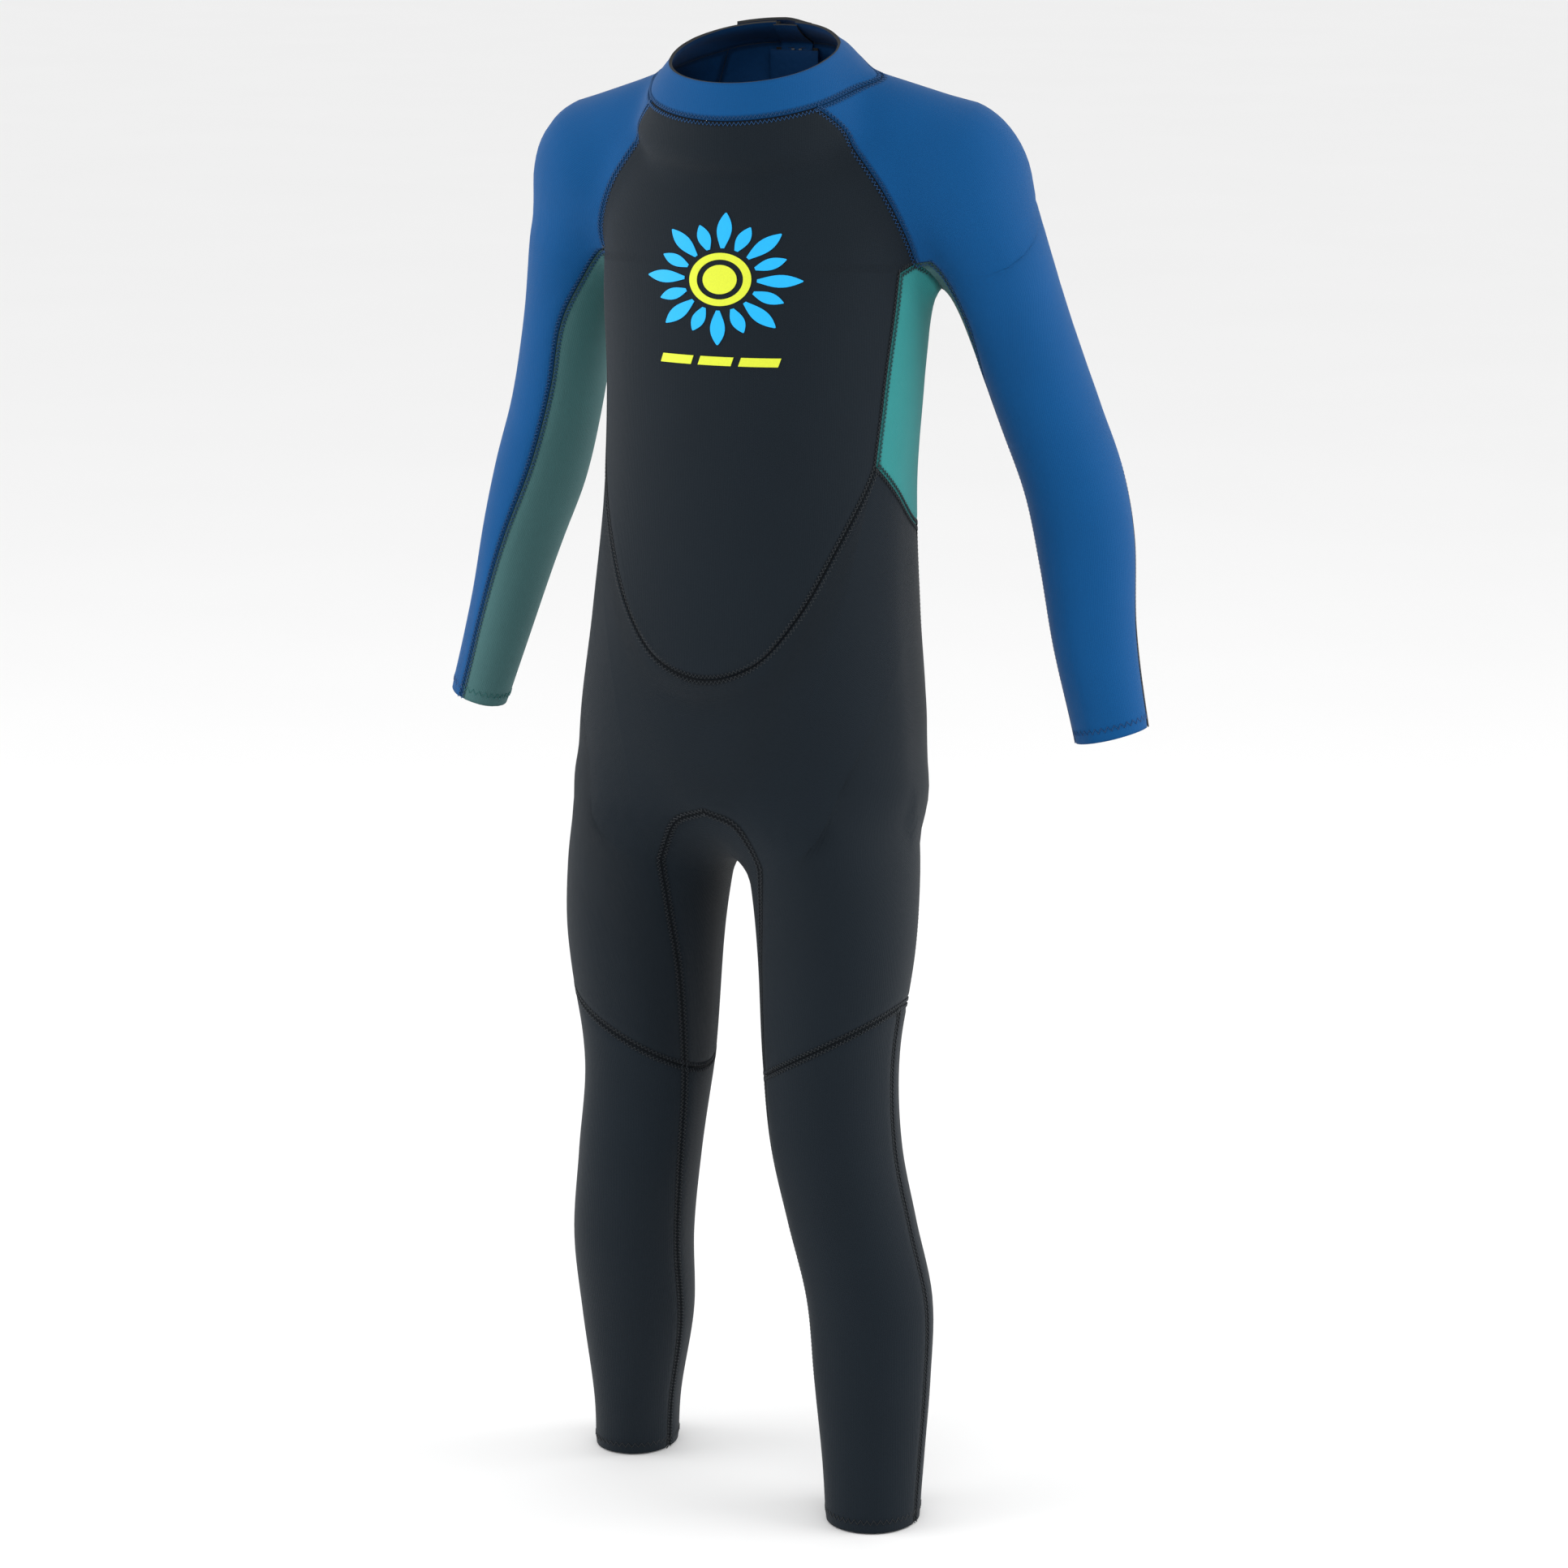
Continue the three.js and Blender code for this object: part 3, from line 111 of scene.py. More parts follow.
# Rows of an arm: distance down it, outward, back, half width, half depth, turn in degrees.
ARMS = {"left": dict(origin=(108, 40, TRUNK_LENGTH - 51), hang=(78, 5, -285), rows=[
    (-20, -4, 0, 31, 34, 0), (30, 0, 3, 28, 33, 0), (80, 1, 13, 26, 30, 0), (130, 2, 23, 26, 28, 0),
    (165, 4, 26, 26, 27, 0), (200, 4, 20, 25.5, 25, 10), (245, 1, 8, 22, 22, 30), (295, 0, 0, 19, 21, 45),
    (330, 0, -8, 19, 21, 45)]),
    "right": dict(origin=(-107, 40, TRUNK_LENGTH - 57), hang=(-74, 5, -292), rows=[
    (-20, -4, 0, 29, 34, 0), (30, 0, 3, 26, 32, 0), (80, 0, 13, 24, 29, 0), (130, 1, 23, 24, 27, 0),
    (170, 3, 26, 24.5, 27, 0), (205, 3, 20, 22, 25, -10), (250, 0, 8, 18, 22, -30), (300, 0, 0, 15, 19, -40),
    (330, 0, -8, 15, 19, -40)])}
SLEEVE_LENGTH = 296
SLEEVE_PACE = 1.35  # its rows lie closer near the armpit
SHOULDERS = [((34, 22, TRUNK_LENGTH - 10), (96, 36, TRUNK_LENGTH - 41)),
             ((-34, 22, TRUNK_LENGTH - 13), (-96, 36, TRUNK_LENGTH - 46))]
# Rows of the neck: height over the collar seam, back, half width, half depth.
NECK = [(-24, -6, 62, 60), (0, 0, 54.5, 58), (8, 0, 49, 52), (16, 0, 43.5, 46), (48, 0, 43.5, 46)]
NECK_ORIGIN = np.array([0, 12, TRUNK_LENGTH])
NECK_UP = np.array([0, -sin(NECK_LEAN), cos(NECK_LEAN)])
NECK_BACK = np.array([0, cos(NECK_LEAN), sin(NECK_LEAN)])


def unit(v):
    return v / np.linalg.norm(v, axis=-1, keepdims=True)


def mix(a, b, t):
    return a + (b - a) * t


def smoothstep(x, low, high):
    t = np.clip((x - low) / (high - low), 0, 1)
    return t * t * (3 - 2 * t)


def point(x, y, z):
    return np.stack(np.broadcast_arrays(x, y, z), -1).astype(float)


for side, arm in ARMS.items():
    arm["origin"] = np.array(arm["origin"], float)
    arm["down"] = unit(np.array(arm["hang"], float))
    arm["back"] = unit(np.cross(arm["down"], (1, 0, 0)))
    arm["back"] *= np.sign(arm["back"][1])
    arm["out"] = unit(np.cross(arm["back"], arm["down"]))
    arm["out"] *= np.sign(arm["out"][0]) * SIGN[side]


def along(rows, x):
    """A smooth line through the rows of a table, read at x."""
    rows = np.asarray(rows, float)
    at, values = rows[:, 0], rows[:, 1:]
    slopes = np.empty_like(values)
    slopes[1:-1] = (values[2:] - values[:-2]) / (at[2:] - at[:-2])[:, None]
    slopes[0] = (values[1] - values[0]) / (at[1] - at[0])
    slopes[-1] = (values[-1] - values[-2]) / (at[-1] - at[-2])
    x = np.clip(np.asarray(x, float), at[0], at[-1])
    i = np.clip(np.searchsorted(at, x, side="right") - 1, 0, len(at) - 2)
    span = (at[i + 1] - at[i])[..., None]
    s = (x[..., None] - at[i][..., None]) / span
    return ((2 * s**3 - 3 * s**2 + 1) * values[i] + (s**3 - 2 * s**2 + s) * span * slopes[i]
            + (3 * s**2 - 2 * s**3) * values[i + 1] + (s**3 - s**2) * span * slopes[i + 1])


def from_section(u, w, width, depth, power, past, reach):
    """About how far outside a rounded section a point is."""
    total = np.abs(u / width)**power + np.abs(w / depth)**power + (past / reach)**power
    ratio = np.maximum(total**(1 / power), 1e-6)
    return np.sqrt(u * u + w * w + past * past) * (1 - 1 / ratio)


def joined(a, b, fillet):
    h = np.maximum(fillet - np.abs(a - b), 0) / fillet
    return np.minimum(a, b) - h * h * fillet / 4


def form(p):
    """Below nought inside the wearer's shape and above it outside."""
    x, y, z = p[..., 0], p[..., 1], p[..., 2]
    middle, width, front, behind = np.moveaxis(along(TRUNK, z), -1, 0)
    ahead = y < middle
    above, below = np.maximum(z - TRUNK[-1, 0], 0), np.maximum(44 - z, 0)
    f = from_section(x, y - middle, width, np.where(ahead, front, behind), np.where(ahead, 2.1, 2.8),
                     above + below, np.where(above > 0, 10, 46))
    for start, end in SHOULDERS:
        line = np.subtract(end, start)
        t = np.clip((p - start) @ line / (line @ line), 0, 1)
        f = joined(f, np.linalg.norm(p - (start + t[..., None] * line), axis=-1) - mix(22, 34, t), 22)
    for arm in ARMS.values():
        d = p - arm["origin"]
        s = d @ arm["down"]
        out, back, width, depth, turn = np.moveaxis(along(arm["rows"], s), -1, 0)
        u, w, turn = d @ arm["out"] - out, d @ arm["back"] - back, np.radians(turn)
        f = joined(f, from_section(u * np.cos(turn) + w * np.sin(turn), w * np.cos(turn) - u * np.sin(turn),
                                   width, depth, 2.05, np.maximum(5 - s, 0), 33), 20)
    thighs = []
    for rows in LEGS.values():
        sideways, back, width, depth = np.moveaxis(along(rows, z), -1, 0)
        thighs.append(from_section(x - sideways, y - back, width, depth, 2.1, np.maximum(z - 16, 0), 34))
    f = joined(f, joined(*thighs, 8), 20)
    d = p - NECK_ORIGIN
    s = d @ NECK_UP
    back, width, depth = np.moveaxis(along(NECK, s), -1, 0)
    collar_foot = from_section(d[..., 0], d @ NECK_BACK - back, width, depth, 2, np.maximum(-14 - s, 0), 20)
    return joined(f, collar_foot, 8 + 16 * smoothstep(-y, -10, 30))


def lay(core, target):
    """Where a line from a core inside the shape, towards a target, comes out of it."""
    core, target = np.broadcast_arrays(core, target)
    shape = core.shape
    way = unit(target - core).reshape(-1, 3)
    core = core.reshape(-1, 3)
    inside, outside = np.zeros(len(core)), np.full(len(core), 2.0)
    going = np.arange(len(core))
    while len(going):
        under = form(core[going] + way[going] * outside[going, None]) < 0
        going = going[under & (outside[going] < 300)]
        inside[going] = outside[going]
        outside[going] += 3
    for _ in range(14):
        middle = (inside + outside) / 2
        under = form(core + way * middle[:, None]) < 0
        inside, outside = np.where(under, middle, inside), np.where(under, outside, middle)
    return (core + way * outside[:, None]).reshape(shape)


def outwards(p):
    slopes = [form(p + step) - form(p - step) for step in 0.4 * np.eye(3)]
    return unit(np.stack(slopes, -1))


def trunk_core(z):
    return point(0, along(TRUNK, z)[..., 0], z)


def on_trunk(angle, z):
    core = trunk_core(z + 0 * np.asarray(angle, float))
    return lay(core, core + point(np.sin(np.radians(angle)), -np.cos(np.radians(angle)), 0))


def leg_core(side, z):
    row = along(LEGS[side], z)
    return point(row[..., 0], row[..., 1], z)


def on_leg(side, angle, z):
    angle = np.radians(angle)
    core = leg_core(side, z + 0 * angle)
    return lay(core, core + point(-SIGN[side] * np.sin(angle), -np.cos(angle), 0))


def knee_seam_z(angle):
    return -98 - 22 * np.sin(np.radians(angle))


def arm_core(side, s):
    arm, row = ARMS[side], along(ARMS[side]["rows"], s)
    return (arm["origin"] + np.multiply.outer(s, arm["down"]) + row[..., :1] * arm["out"]
            + row[..., 1:2] * arm["back"])


def on_arm(side, angle, s):
    angle, s = np.broadcast_arrays(np.radians(angle), np.asarray(s, float))
    core = arm_core(side, s)
    round_arm = np.sin(angle)[..., None] * ARMS[side]["out"] - np.cos(angle)[..., None] * ARMS[side]["back"]
    return lay(core, core + round_arm)


def on_neck(angle, height):
    angle = np.radians(angle)
    core = NECK_ORIGIN + np.multiply.outer(height + 0 * angle, NECK_UP)
    return lay(core, core + point(np.sin(angle), 0, 0) - np.cos(angle)[..., None] * NECK_BACK)


def down_arm(side, p):
    return np.maximum((p - ARMS[side]["origin"]) @ ARMS[side]["down"], 20)


def beside_zip(x, z):
    return lay(point(0, 20, z), point(x, back_line(z), z))


def pelvis_core(side, z):
    share = smoothstep(z, -20, 40)[..., None]
    return mix(leg_core(side, np.minimum(z, 40)), trunk_core(z), share)


STEPS = {name: FINER * count for name, count in dict(
    throat=8, collar_side=6, raglan_front=7, raglan_rear=3, side=7, belly=6, diagonal=4, zip_foot=2, thigh=10,
    sleeve=12, shin=12, knee_front=6, knee_outside=2, knee_back=5, knee_inside=4).items()}
STEPS["arch"] = 2 * (STEPS["diagonal"] + STEPS["belly"]) + STEPS["throat"]
STEPS["waist"] = (STEPS["arch"] - STEPS["zip_foot"]) // 2
STEPS["raglan_back"] = STEPS["raglan_front"] + STEPS["raglan_rear"]


def slit_angle(share):
    return 180 - np.degrees(np.arctan(ZIP_HALF_OPENING / mix(58, 46, share)))


def shares(name):
    return np.linspace(0, 1, STEPS[name] + 1)


def join(*parts):
    return np.concatenate([part[1:] if i else part for i, part in enumerate(parts)])


def seam_through(points, count, core_of, pace=lambda t: t):
    points = np.array(points, float)
    on_form = np.where(np.abs(form(points))[:, None] < 1e-3, points, lay(core_of(points), points))
    rows = np.column_stack([np.linspace(0, 1, len(points)), on_form])
    targets = along(rows, pace(np.linspace(0, 1, count + 1)))
    line = lay(core_of(targets), targets)
    line[0], line[-1] = on_form[0], on_form[-1]
    return line


def collar_arc(start, end, name):
    return on_neck(mix(start, end, shares(name)), 0)


def seams_of(side):
    """Every line where two panels of one side are sewn together."""
    sign = SIGN[side]

    def from_neck(x, y, drop):
        return np.array([sign * x, y, TRUNK_LENGTH - drop])

    def on_side(angle, z):
        return on_trunk(sign * np.asarray(angle, float), z)

    seams = {"collar_side": collar_arc(sign * 53, sign * 142, "collar_side"),
             "collar_back": collar_arc(sign * 142, sign * slit_angle(0), "waist")}
    seams["raglan_front"] = seam_through(
        [seams["collar_side"][0], from_neck(57, -9, 24), from_neck(70, -4, 45), from_neck(82, 1, 67),
         from_neck(90, 13, 91)], STEPS["raglan_front"],
        lambda p: point(0.6 * p[:, 0], 25, np.minimum(p[:, 2], TRUNK_LENGTH - 57)))
    seams["raglan_back"] = seam_through(
        [seams["collar_back"][0], from_neck(56, 74, 14), from_neck(72, 80, 40), from_neck(84, 77, 66),
         from_neck(90, 66, 91)], STEPS["raglan_back"],
        lambda p: point(0.6 * p[:, 0], 32, np.minimum(p[:, 2], TRUNK_LENGTH - 57)))
    front, back = seams["raglan_front"][-1], seams["raglan_back"][-1]
    seams["armpit"] = seam_through(
        [front, from_neck(92.5, 27, 104), from_neck(92, 39, 108), from_neck(89, 52, 102), back],
        STEPS["diagonal"], lambda p: from_neck(91, 38, 70) + 0 * p)

    t = shares("side")
    seams["side_front"] = on_side(70 + 3 * (1 - t)**3, mix(front[2], SIDE_PEAK_Z, t))
    seams["side_back"] = on_side(mix(122, 118, t), mix(back[2], SIDE_FLANK_Z, t))
    seams["side_front"][0], seams["side_back"][0] = front, back
    peak, flank = seams["side_front"][-1], seams["side_back"][-1]

    def middle_of_trunk(p):
        return trunk_core(p[:, 2])

    seams["diagonal"] = seam_through(
        [peak, on_side(85, mix(SIDE_PEAK_Z, SIDE_FLANK_Z, 0.4)),
         on_side(102, mix(SIDE_PEAK_Z, SIDE_FLANK_Z, 0.82)), flank],
        STEPS["diagonal"], middle_of_trunk)
    belly = [on_side(angle, share * SIDE_PEAK_Z) for angle, share in [*BELLY_MARKS, (25, 0.515)]]
    seams["belly"] = seam_through([peak, *belly], STEPS["belly"], middle_of_trunk)

    head = seams["collar_back"][-1]
    count = STEPS["raglan_back"] + STEPS["side"]
    t, armhole, level = np.linspace(0, 1, count + 1), STEPS["raglan_back"] / count, back[2] + 8
    z = np.where(t < armhole, mix(head[2], level, t / armhole),
                 mix(level, ZIP_FOOT - ZIP_FOOT_MARGIN, (t - armhole) / (1 - armhole)))
    seams["zip"] = beside_zip(sign * ZIP_HALF_OPENING, z)
    seams["zip"][0] = head
    t = shares("waist")
    seams["waist"] = on_side(mix(118, 176, t),
                             mix(flank[2], ZIP_FOOT - ZIP_FOOT_MARGIN, 1 - (1 - t)**1.7))
    seams["waist"][0], seams["waist"][-1] = flank, seams["zip"][-1]
    seams["hip"] = seam_through(
        [flank, on_side(121, 0.24 * TRUNK_LENGTH), on_side(124, 0.1 * TRUNK_LENGTH),
         on_leg(side, -125, -0.09 * INSIDE_LEG), on_leg(side, -125, knee_seam_z(-125))],
        STEPS["thigh"], lambda p: pelvis_core(side, p[:, 2]))

    def arch(knee_angle, thigh_points, shoulder, top_angle):
        def core(p):
            return pelvis_core(side, p[:, 2] - 12)
        knee = on_leg(side, knee_angle, knee_seam_z(knee_angle))
        marks = [(sign * x, y, z) for x, y, z in thigh_points]
        thigh = seam_through([knee, *marks], STEPS["thigh"], core)
        crown = seam_through([thigh[-1], (sign * shoulder[0], *shoulder[1:]), on_trunk(top_angle, 31)],
                             STEPS["arch"] // 2, core, lambda t: t**3 * (t * (6 * t - 15) + 10))
        return join(thigh, crown)

    middle, high = -0.18 * INSIDE_LEG, -0.076 * INSIDE_LEG
    seams["gusset_front"] = arch(
        54, [(24, -40, middle), (26, -48, high), (27, -57, 2)], (17, -64, 24), 0)
    seams["gusset_back"] = arch(
        126, [(24, 12, middle), (25, 29, high), (27, 48, 2)], (17, 62, 24), 180)

    def knee_arc(start, end, name):
        angle = mix(start, end, shares(name))
        return on_leg(side, angle, knee_seam_z(angle))

    seams["knee_front"] = knee_arc(54, -87, "knee_front")
    seams["knee_outside"] = knee_arc(-87, -125, "knee_outside")
    seams["knee_inside"] = knee_arc(54, 126, "knee_inside")
    seams["knee_back"] = knee_arc(126, 235, "knee_back")
    t = shares("shin")
    seams["shin_inside"] = on_leg(side, 54 + 21 * (1 - (1 - t)**2), mix(knee_seam_z(54), -INSIDE_LEG, t))
    seams["shin_outside"] = on_leg(side, -87 + 0 * t, mix(knee_seam_z(-87), -INSIDE_LEG, t))

    def sleeve_seam(start, angles):
        stops = SLEEVE_LENGTH * np.array([0.24, 0.39, 0.54, 0.69, 0.84, 1])
        return seam_through([start, *on_arm(side, np.array(angles, float), stops)], STEPS["sleeve"],
                            lambda p: arm_core(side, down_arm(side, p)), lambda t: t**SLEEVE_PACE)

    front_angles = {"left": [-40, -68, -76, -78, -78, -78], "right": [-16, -12, -8, 2, 12, 15]}
    seams["sleeve_front"] = sleeve_seam(front, front_angles[side])
    seams["sleeve_inside"] = sleeve_seam(back, [-150, -155, -158, -160, -160, -160])
    split = seams["raglan_back"][STEPS["raglan_front"]]
    seams["sleeve_rear"] = sleeve_seam(split, [160, 140, 124, 112, 104, CUFF_REAR_ANGLE])
    return seams


left, right = seams_of("left"), seams_of("right")
throat = collar_arc(-53, 53, "throat")
u_marks = [*BELLY_MARKS, (25, 0.53)]
u_points = [on_trunk(sign * angle, share * SIDE_PEAK_Z)
            for sign, marks in ((-1, u_marks), (1, u_marks[::-1])) for angle, share in marks]
u_points.insert(4, on_trunk(0, 0.252 * TRUNK_LENGTH))
u_count = 2 * STEPS["belly"] + STEPS["throat"]
u_pace = [0, STEPS["belly"], u_count - STEPS["belly"], u_count]
u_seam = seam_through([right["belly"][0], *u_points, left["belly"][0]], u_count,
                      lambda p: trunk_core(p[:, 2]), lambda t: np.interp(t * u_count, u_pace, [0, 0.4, 0.6, 1]))
right["belly"], left["belly"] = u_seam[:STEPS["belly"] + 1], u_seam[:-STEPS["belly"] - 2:-1]
belly_foot = u_seam[STEPS["belly"]:-STEPS["belly"]]
across_zip = mix(ZIP_HALF_OPENING, -ZIP_HALF_OPENING, shares("zip_foot"))
zip_foot_edge = beside_zip(across_zip, ZIP_FOOT - ZIP_FOOT_MARGIN)


def new_piece(name, verts, faces, *materials):
    """A smooth piece, from points in millimetres and the faces between them."""
    mesh = bpy.data.meshes.new(name)
    mesh.from_pydata((np.asarray(verts) / 1000).tolist(), [], np.asarray(faces).tolist())
    for material in materials:
        mesh.materials.append(material)
    mesh.polygons.foreach_set("use_smooth", np.ones(len(mesh.polygons), bool))
    piece = bpy.data.objects.new(name, mesh)
    bpy.context.scene.collection.objects.link(piece)
    return piece


def corners_of(place):
    """The four corners of every face of a grid."""
    return [part.ravel() for part in (place[:-1, :-1], place[1:, :-1], place[1:, 1:], place[:-1, 1:])]


SEWN_DIP, SEWN_WIDTH = 0.5, 2  # a sewn edge is pulled in
PLUMP, PLUMP_WIDTH = 0.28, 5  # the foam beside it stands proud
HEM_DIP, HEM_WIDTH = 0.35, 1.2
FAR_FROM_EDGE = 60
SHARP = 50  # degrees between faces, past which an edge is left crisp


def panel(name, grid, finish, node=None, body="suit", free="", lift=None, thick=NEOPRENE, rounded=True):
    """A sewn panel of neoprene on a grid of points: jersey on both faces, and foam at the edges."""
    rows, columns = grid.shape[:2]
    normals = outwards(grid)
    ring = [(0, j) for j in range(columns - 1)] + [(i, columns - 1) for i in range(rows - 1)]
    ring += [(rows - 1, j) for j in range(columns - 1, 0, -1)] + [(i, 0) for i in range(rows - 1, 0, -1)]
    ri, rj = np.array(ring).T
    m, n = rows // 2, columns // 2
    turn = np.sign(np.cross(grid[m, n] - grid[m - 1, n], grid[m, n] - grid[m, n - 1]) @ normals[m, n])
    edge = grid[ri, rj]
    before, after = unit(edge - np.roll(edge, 1, 0)), unit(np.roll(edge, -1, 0) - edge)
    inward = unit(np.cross(before + after, normals[ri, rj])) * turn
    reach = np.maximum(np.linalg.norm(before + after, axis=1) / 2, 0.5)
    points = grid.copy()
    points[ri, rj] += inward * (SEAM_GAP / 2 / reach)[:, None]

    across = np.zeros((rows, columns))
    across[:, 1:] = np.cumsum(np.linalg.norm(np.diff(grid, axis=1), axis=2), 1)
    down = np.zeros((rows, columns))
    down[1:] = np.cumsum(np.linalg.norm(np.diff(grid, axis=0), axis=2), 0)
    sides = {"first": across, "last": across[:, -1:] - across, "start": down, "end": down[-1:] - down}
    far = np.full((rows, columns), float(FAR_FROM_EDGE))
    seam = np.minimum.reduce([far] + [d for side, d in sides.items() if side not in free.split()])
    hem = np.minimum.reduce([far] + [d for side, d in sides.items() if side in free.split()])

    # The jersey is drawn down into a sewn edge and stands proud beside it.
    top = np.zeros((rows, columns)) if lift is None else lift + thick
    if rounded:
        plump = seam / PLUMP_WIDTH
        top = top - SEWN_DIP * np.exp(-(seam / SEWN_WIDTH)**2) + PLUMP * plump * np.exp(1 - plump)
        top = top - HEM_DIP * np.exp(-(hem / HEM_WIDTH)**2)
    bottom = -float(thick) + 0 * top if lift is None else lift
    verts = np.concatenate([(points + normals * h[..., None]).reshape(-1, 3) for h in (top, bottom)])
    place = np.arange(rows * columns).reshape(rows, columns)
    a, b, c, d = corners_of(place)
    outer = np.stack([a, b, c, d] if turn > 0 else [a, d, c, b], 1)
    inner = outer[:, ::-1] + rows * columns
    here = place[ri, rj]
    there = np.roll(here, -1)
    wall = np.stack([here, there, there + rows * columns, here + rows * columns], 1)
    wall = wall if turn > 0 else wall[:, ::-1]
    faces = np.concatenate([outer, inner, wall])
    piece = new_piece(name + "_cloth", verts, faces, finish, lining, foam_edge)
    mesh = piece.data
    kinds = np.repeat([0, 1, 2], [len(outer), len(inner), len(wall)])
    mesh.polygons.foreach_set("material_index", kinds.astype(np.int32))
    for label, values in (("seam", seam), ("hem", hem)):
        attribute = mesh.attributes.new(label, "FLOAT", "POINT")
        attribute.data.foreach_set("value", np.tile(values.ravel(), 2).astype(np.float32))
    cloth = mesh.uv_layers.new(name="cloth")
    flat = np.tile(np.stack([across - across[:, -1:] / 2, down], -1).reshape(-1, 2) / 1000, (2, 1))
    corners = np.empty(len(mesh.loops), np.int32)
    mesh.loops.foreach_get("vertex_index", corners)
    cloth.data.foreach_set("uv", flat[corners].ravel().astype(np.float32))
    mesh.set_sharp_from_angle(angle=radians(SHARP))

    quads = np.cross(grid[1:, 1:] - grid[:-1, :-1], grid[1:, :-1] - grid[:-1, 1:])
    area = np.linalg.norm(quads, axis=2).sum() / 2e6
    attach(piece, body)
    if node != "":
        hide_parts(node or name)
    frame_slot(node or name) if node != "" else "slate_neoprene"
    return piece


def frame_slot(node):
    return next(row["material_slot"] for row in frame["record"]["subparts"] if row["node"] == node)


class Value:
    """A number that changes over a surface. Sums on it become Math nodes."""

    def __init__(self, tree, socket):
        self.tree, self.socket = tree, socket

    def sum(self, operation, *others):
        node = self.tree.nodes.new("ShaderNodeMath")
        node.operation = operation
        for slot, value in zip(node.inputs, (self, *others)):
            if isinstance(value, Value):
                self.tree.links.new(value.socket, slot)
            else:
                slot.default_value = value
        return Value(self.tree, node.outputs[0])

    def __add__(self, other):
        return self.sum("ADD", other)

    def __sub__(self, other):
        return self.sum("SUBTRACT", other)

    def __mul__(self, other):
        return self.sum("MULTIPLY", other)

    def __truediv__(self, other):
        return self.sum("DIVIDE", other)

    def __rsub__(self, other):
        return (self * -1).sum("ADD", other)

    __radd__, __rmul__ = __add__, __mul__


class Finish:
    """A material, made node by node."""

    def __init__(self, name, **constant):
        self.material = bpy.data.materials.new(name)
        self.material.use_nodes = True
        self.tree = self.material.node_tree
        self.shader = self.tree.nodes["Principled BSDF"]
        for label, value in constant.items():
            label = label.replace("_", " ")
            next(s for s in self.shader.inputs if s.name.lower() == label).default_value = value

    def node(self, kind, settings=None, output=0, **sockets):
        node = self.tree.nodes.new(kind)
        for label, value in (settings or {}).items():
            setattr(node, label, value)
        for label, value in sockets.items():
            names = (label, label.replace("_", " "))
            slot = next(s for s in node.inputs
                        if s.enabled and (s.name in names or s.identifier in names))
            if isinstance(value, Value):
                self.tree.links.new(value.socket, slot)
            elif hasattr(value, "is_linked"):
                self.tree.links.new(value, slot)
            else:
                slot.default_value = value
        outlet = node.outputs[output]
        return Value(self.tree, outlet) if outlet.type == "VALUE" else outlet

    def blend(self, a, b, factor, kind="MIX"):
        settings = dict(data_type="RGBA", blend_type=kind)
        a, b = ((*c, 1) if isinstance(c, tuple) else c for c in (a, b))
        return self.node("ShaderNodeMix", settings, 2, Factor=factor, A_Color=a, B_Color=b)

    def attribute(self, name):
        return self.node("ShaderNodeAttribute", dict(attribute_name=name), 2)

    def place(self):
        """Where a point is on the suit."""
        return self.node("ShaderNodeTexCoord", output=3)

    def noise(self, at, scale, detail=2.0):
        return self.node("ShaderNodeTexNoise", Vector=at, Scale=scale, Detail=detail)

    def cells(self, scale):
        return self.node("ShaderNodeTexVoronoi", Vector=self.place(), Scale=scale)

    def bands(self, at, way, scale, wander=0.0):
        settings = dict(bands_direction=way)
        return self.node("ShaderNodeTexWave", settings, 1, Vector=at, Scale=scale, Distortion=wander)

    def feed(self, label, value):
        self.tree.links.new(getattr(value, "socket", value), self.shader.inputs[label])

    def relief(self, height, strength=1.0):
        self.feed("Normal", self.node("ShaderNodeBump", Height=height, Distance=1.0, Strength=strength))


def shades(colour, *levels):
    return [tuple(level * part for part in colour) for level in levels]


def near(value, limit):
    """One at nought, falling to nought at the limit."""
    return (1 - value / limit).sum("MAXIMUM", 0)


def jersey(name, colour, shade=0.5, sheen=0.06):
    """Nylon jersey glued to foam: a fine rib knit with a little fleck, flatter where it is sewn, with painted
    shade along the seams.
    """
    finish = Finish(name, sheen_weight=sheen, sheen_roughness=0.45, specular_ior_level=0.12)
    cloth = finish.node("ShaderNodeUVMap", dict(uv_map="cloth"))
    seam, hem = finish.attribute("seam"), finish.attribute("hem")
    place = finish.place()
    threads = finish.node("ShaderNodeMapping", Vector=cloth, Scale=(900, 2600, 1))
    fleck = finish.noise(threads, 1.0)
    stretch = finish.noise(place, 22.0, 3.0)
    ribs = finish.bands(cloth, "X", 320.0, 0.4)
    loops = finish.bands(cloth, "Y", 480.0, 0.4)
    pucker = finish.noise(place, 260.0, 1.0)

    dark, light, shadow = shades(colour, 0.82, 1.18, shade)
    base = finish.blend(dark, light, fleck * 0.5 + stretch * 0.5)
    # Painted shade: the colour darkens towards the shadow tone within 3.4 mm of a sewn edge, as if in the shade
    # of the seam's threads
    sewn = near(seam, 3.4) * 1.6
    base = finish.blend(base, shadow, sewn.sum("MINIMUM", 0.9))
    base = finish.blend(base, dark, near(hem, 1.6))
    finish.feed("Base Color", base)
    finish.feed("Roughness", 0.62 + fleck * 0.2)
    height = ribs * 0.00006 + loops * 0.00005 + fleck * 0.00008 + pucker * near(seam, 11) * 0.0005
    finish.relief(height, 0.9)
    return finish.material


slate = jersey("slate_jersey", SLATE)
blue = jersey("blue_jersey", BLUE)
teal = jersey("teal_jersey", TEAL)
# The inner sleeves' jersey is teal with painted shade, darker and greyer than the side panels
arm_teal_painted_shade = jersey("arm_teal_jersey_painted_shade", ARM_TEAL_PAINTED_SHADE)
lining = jersey("navy_lining", (0.0020, 0.0380, 0.1300), sheen=0.03)


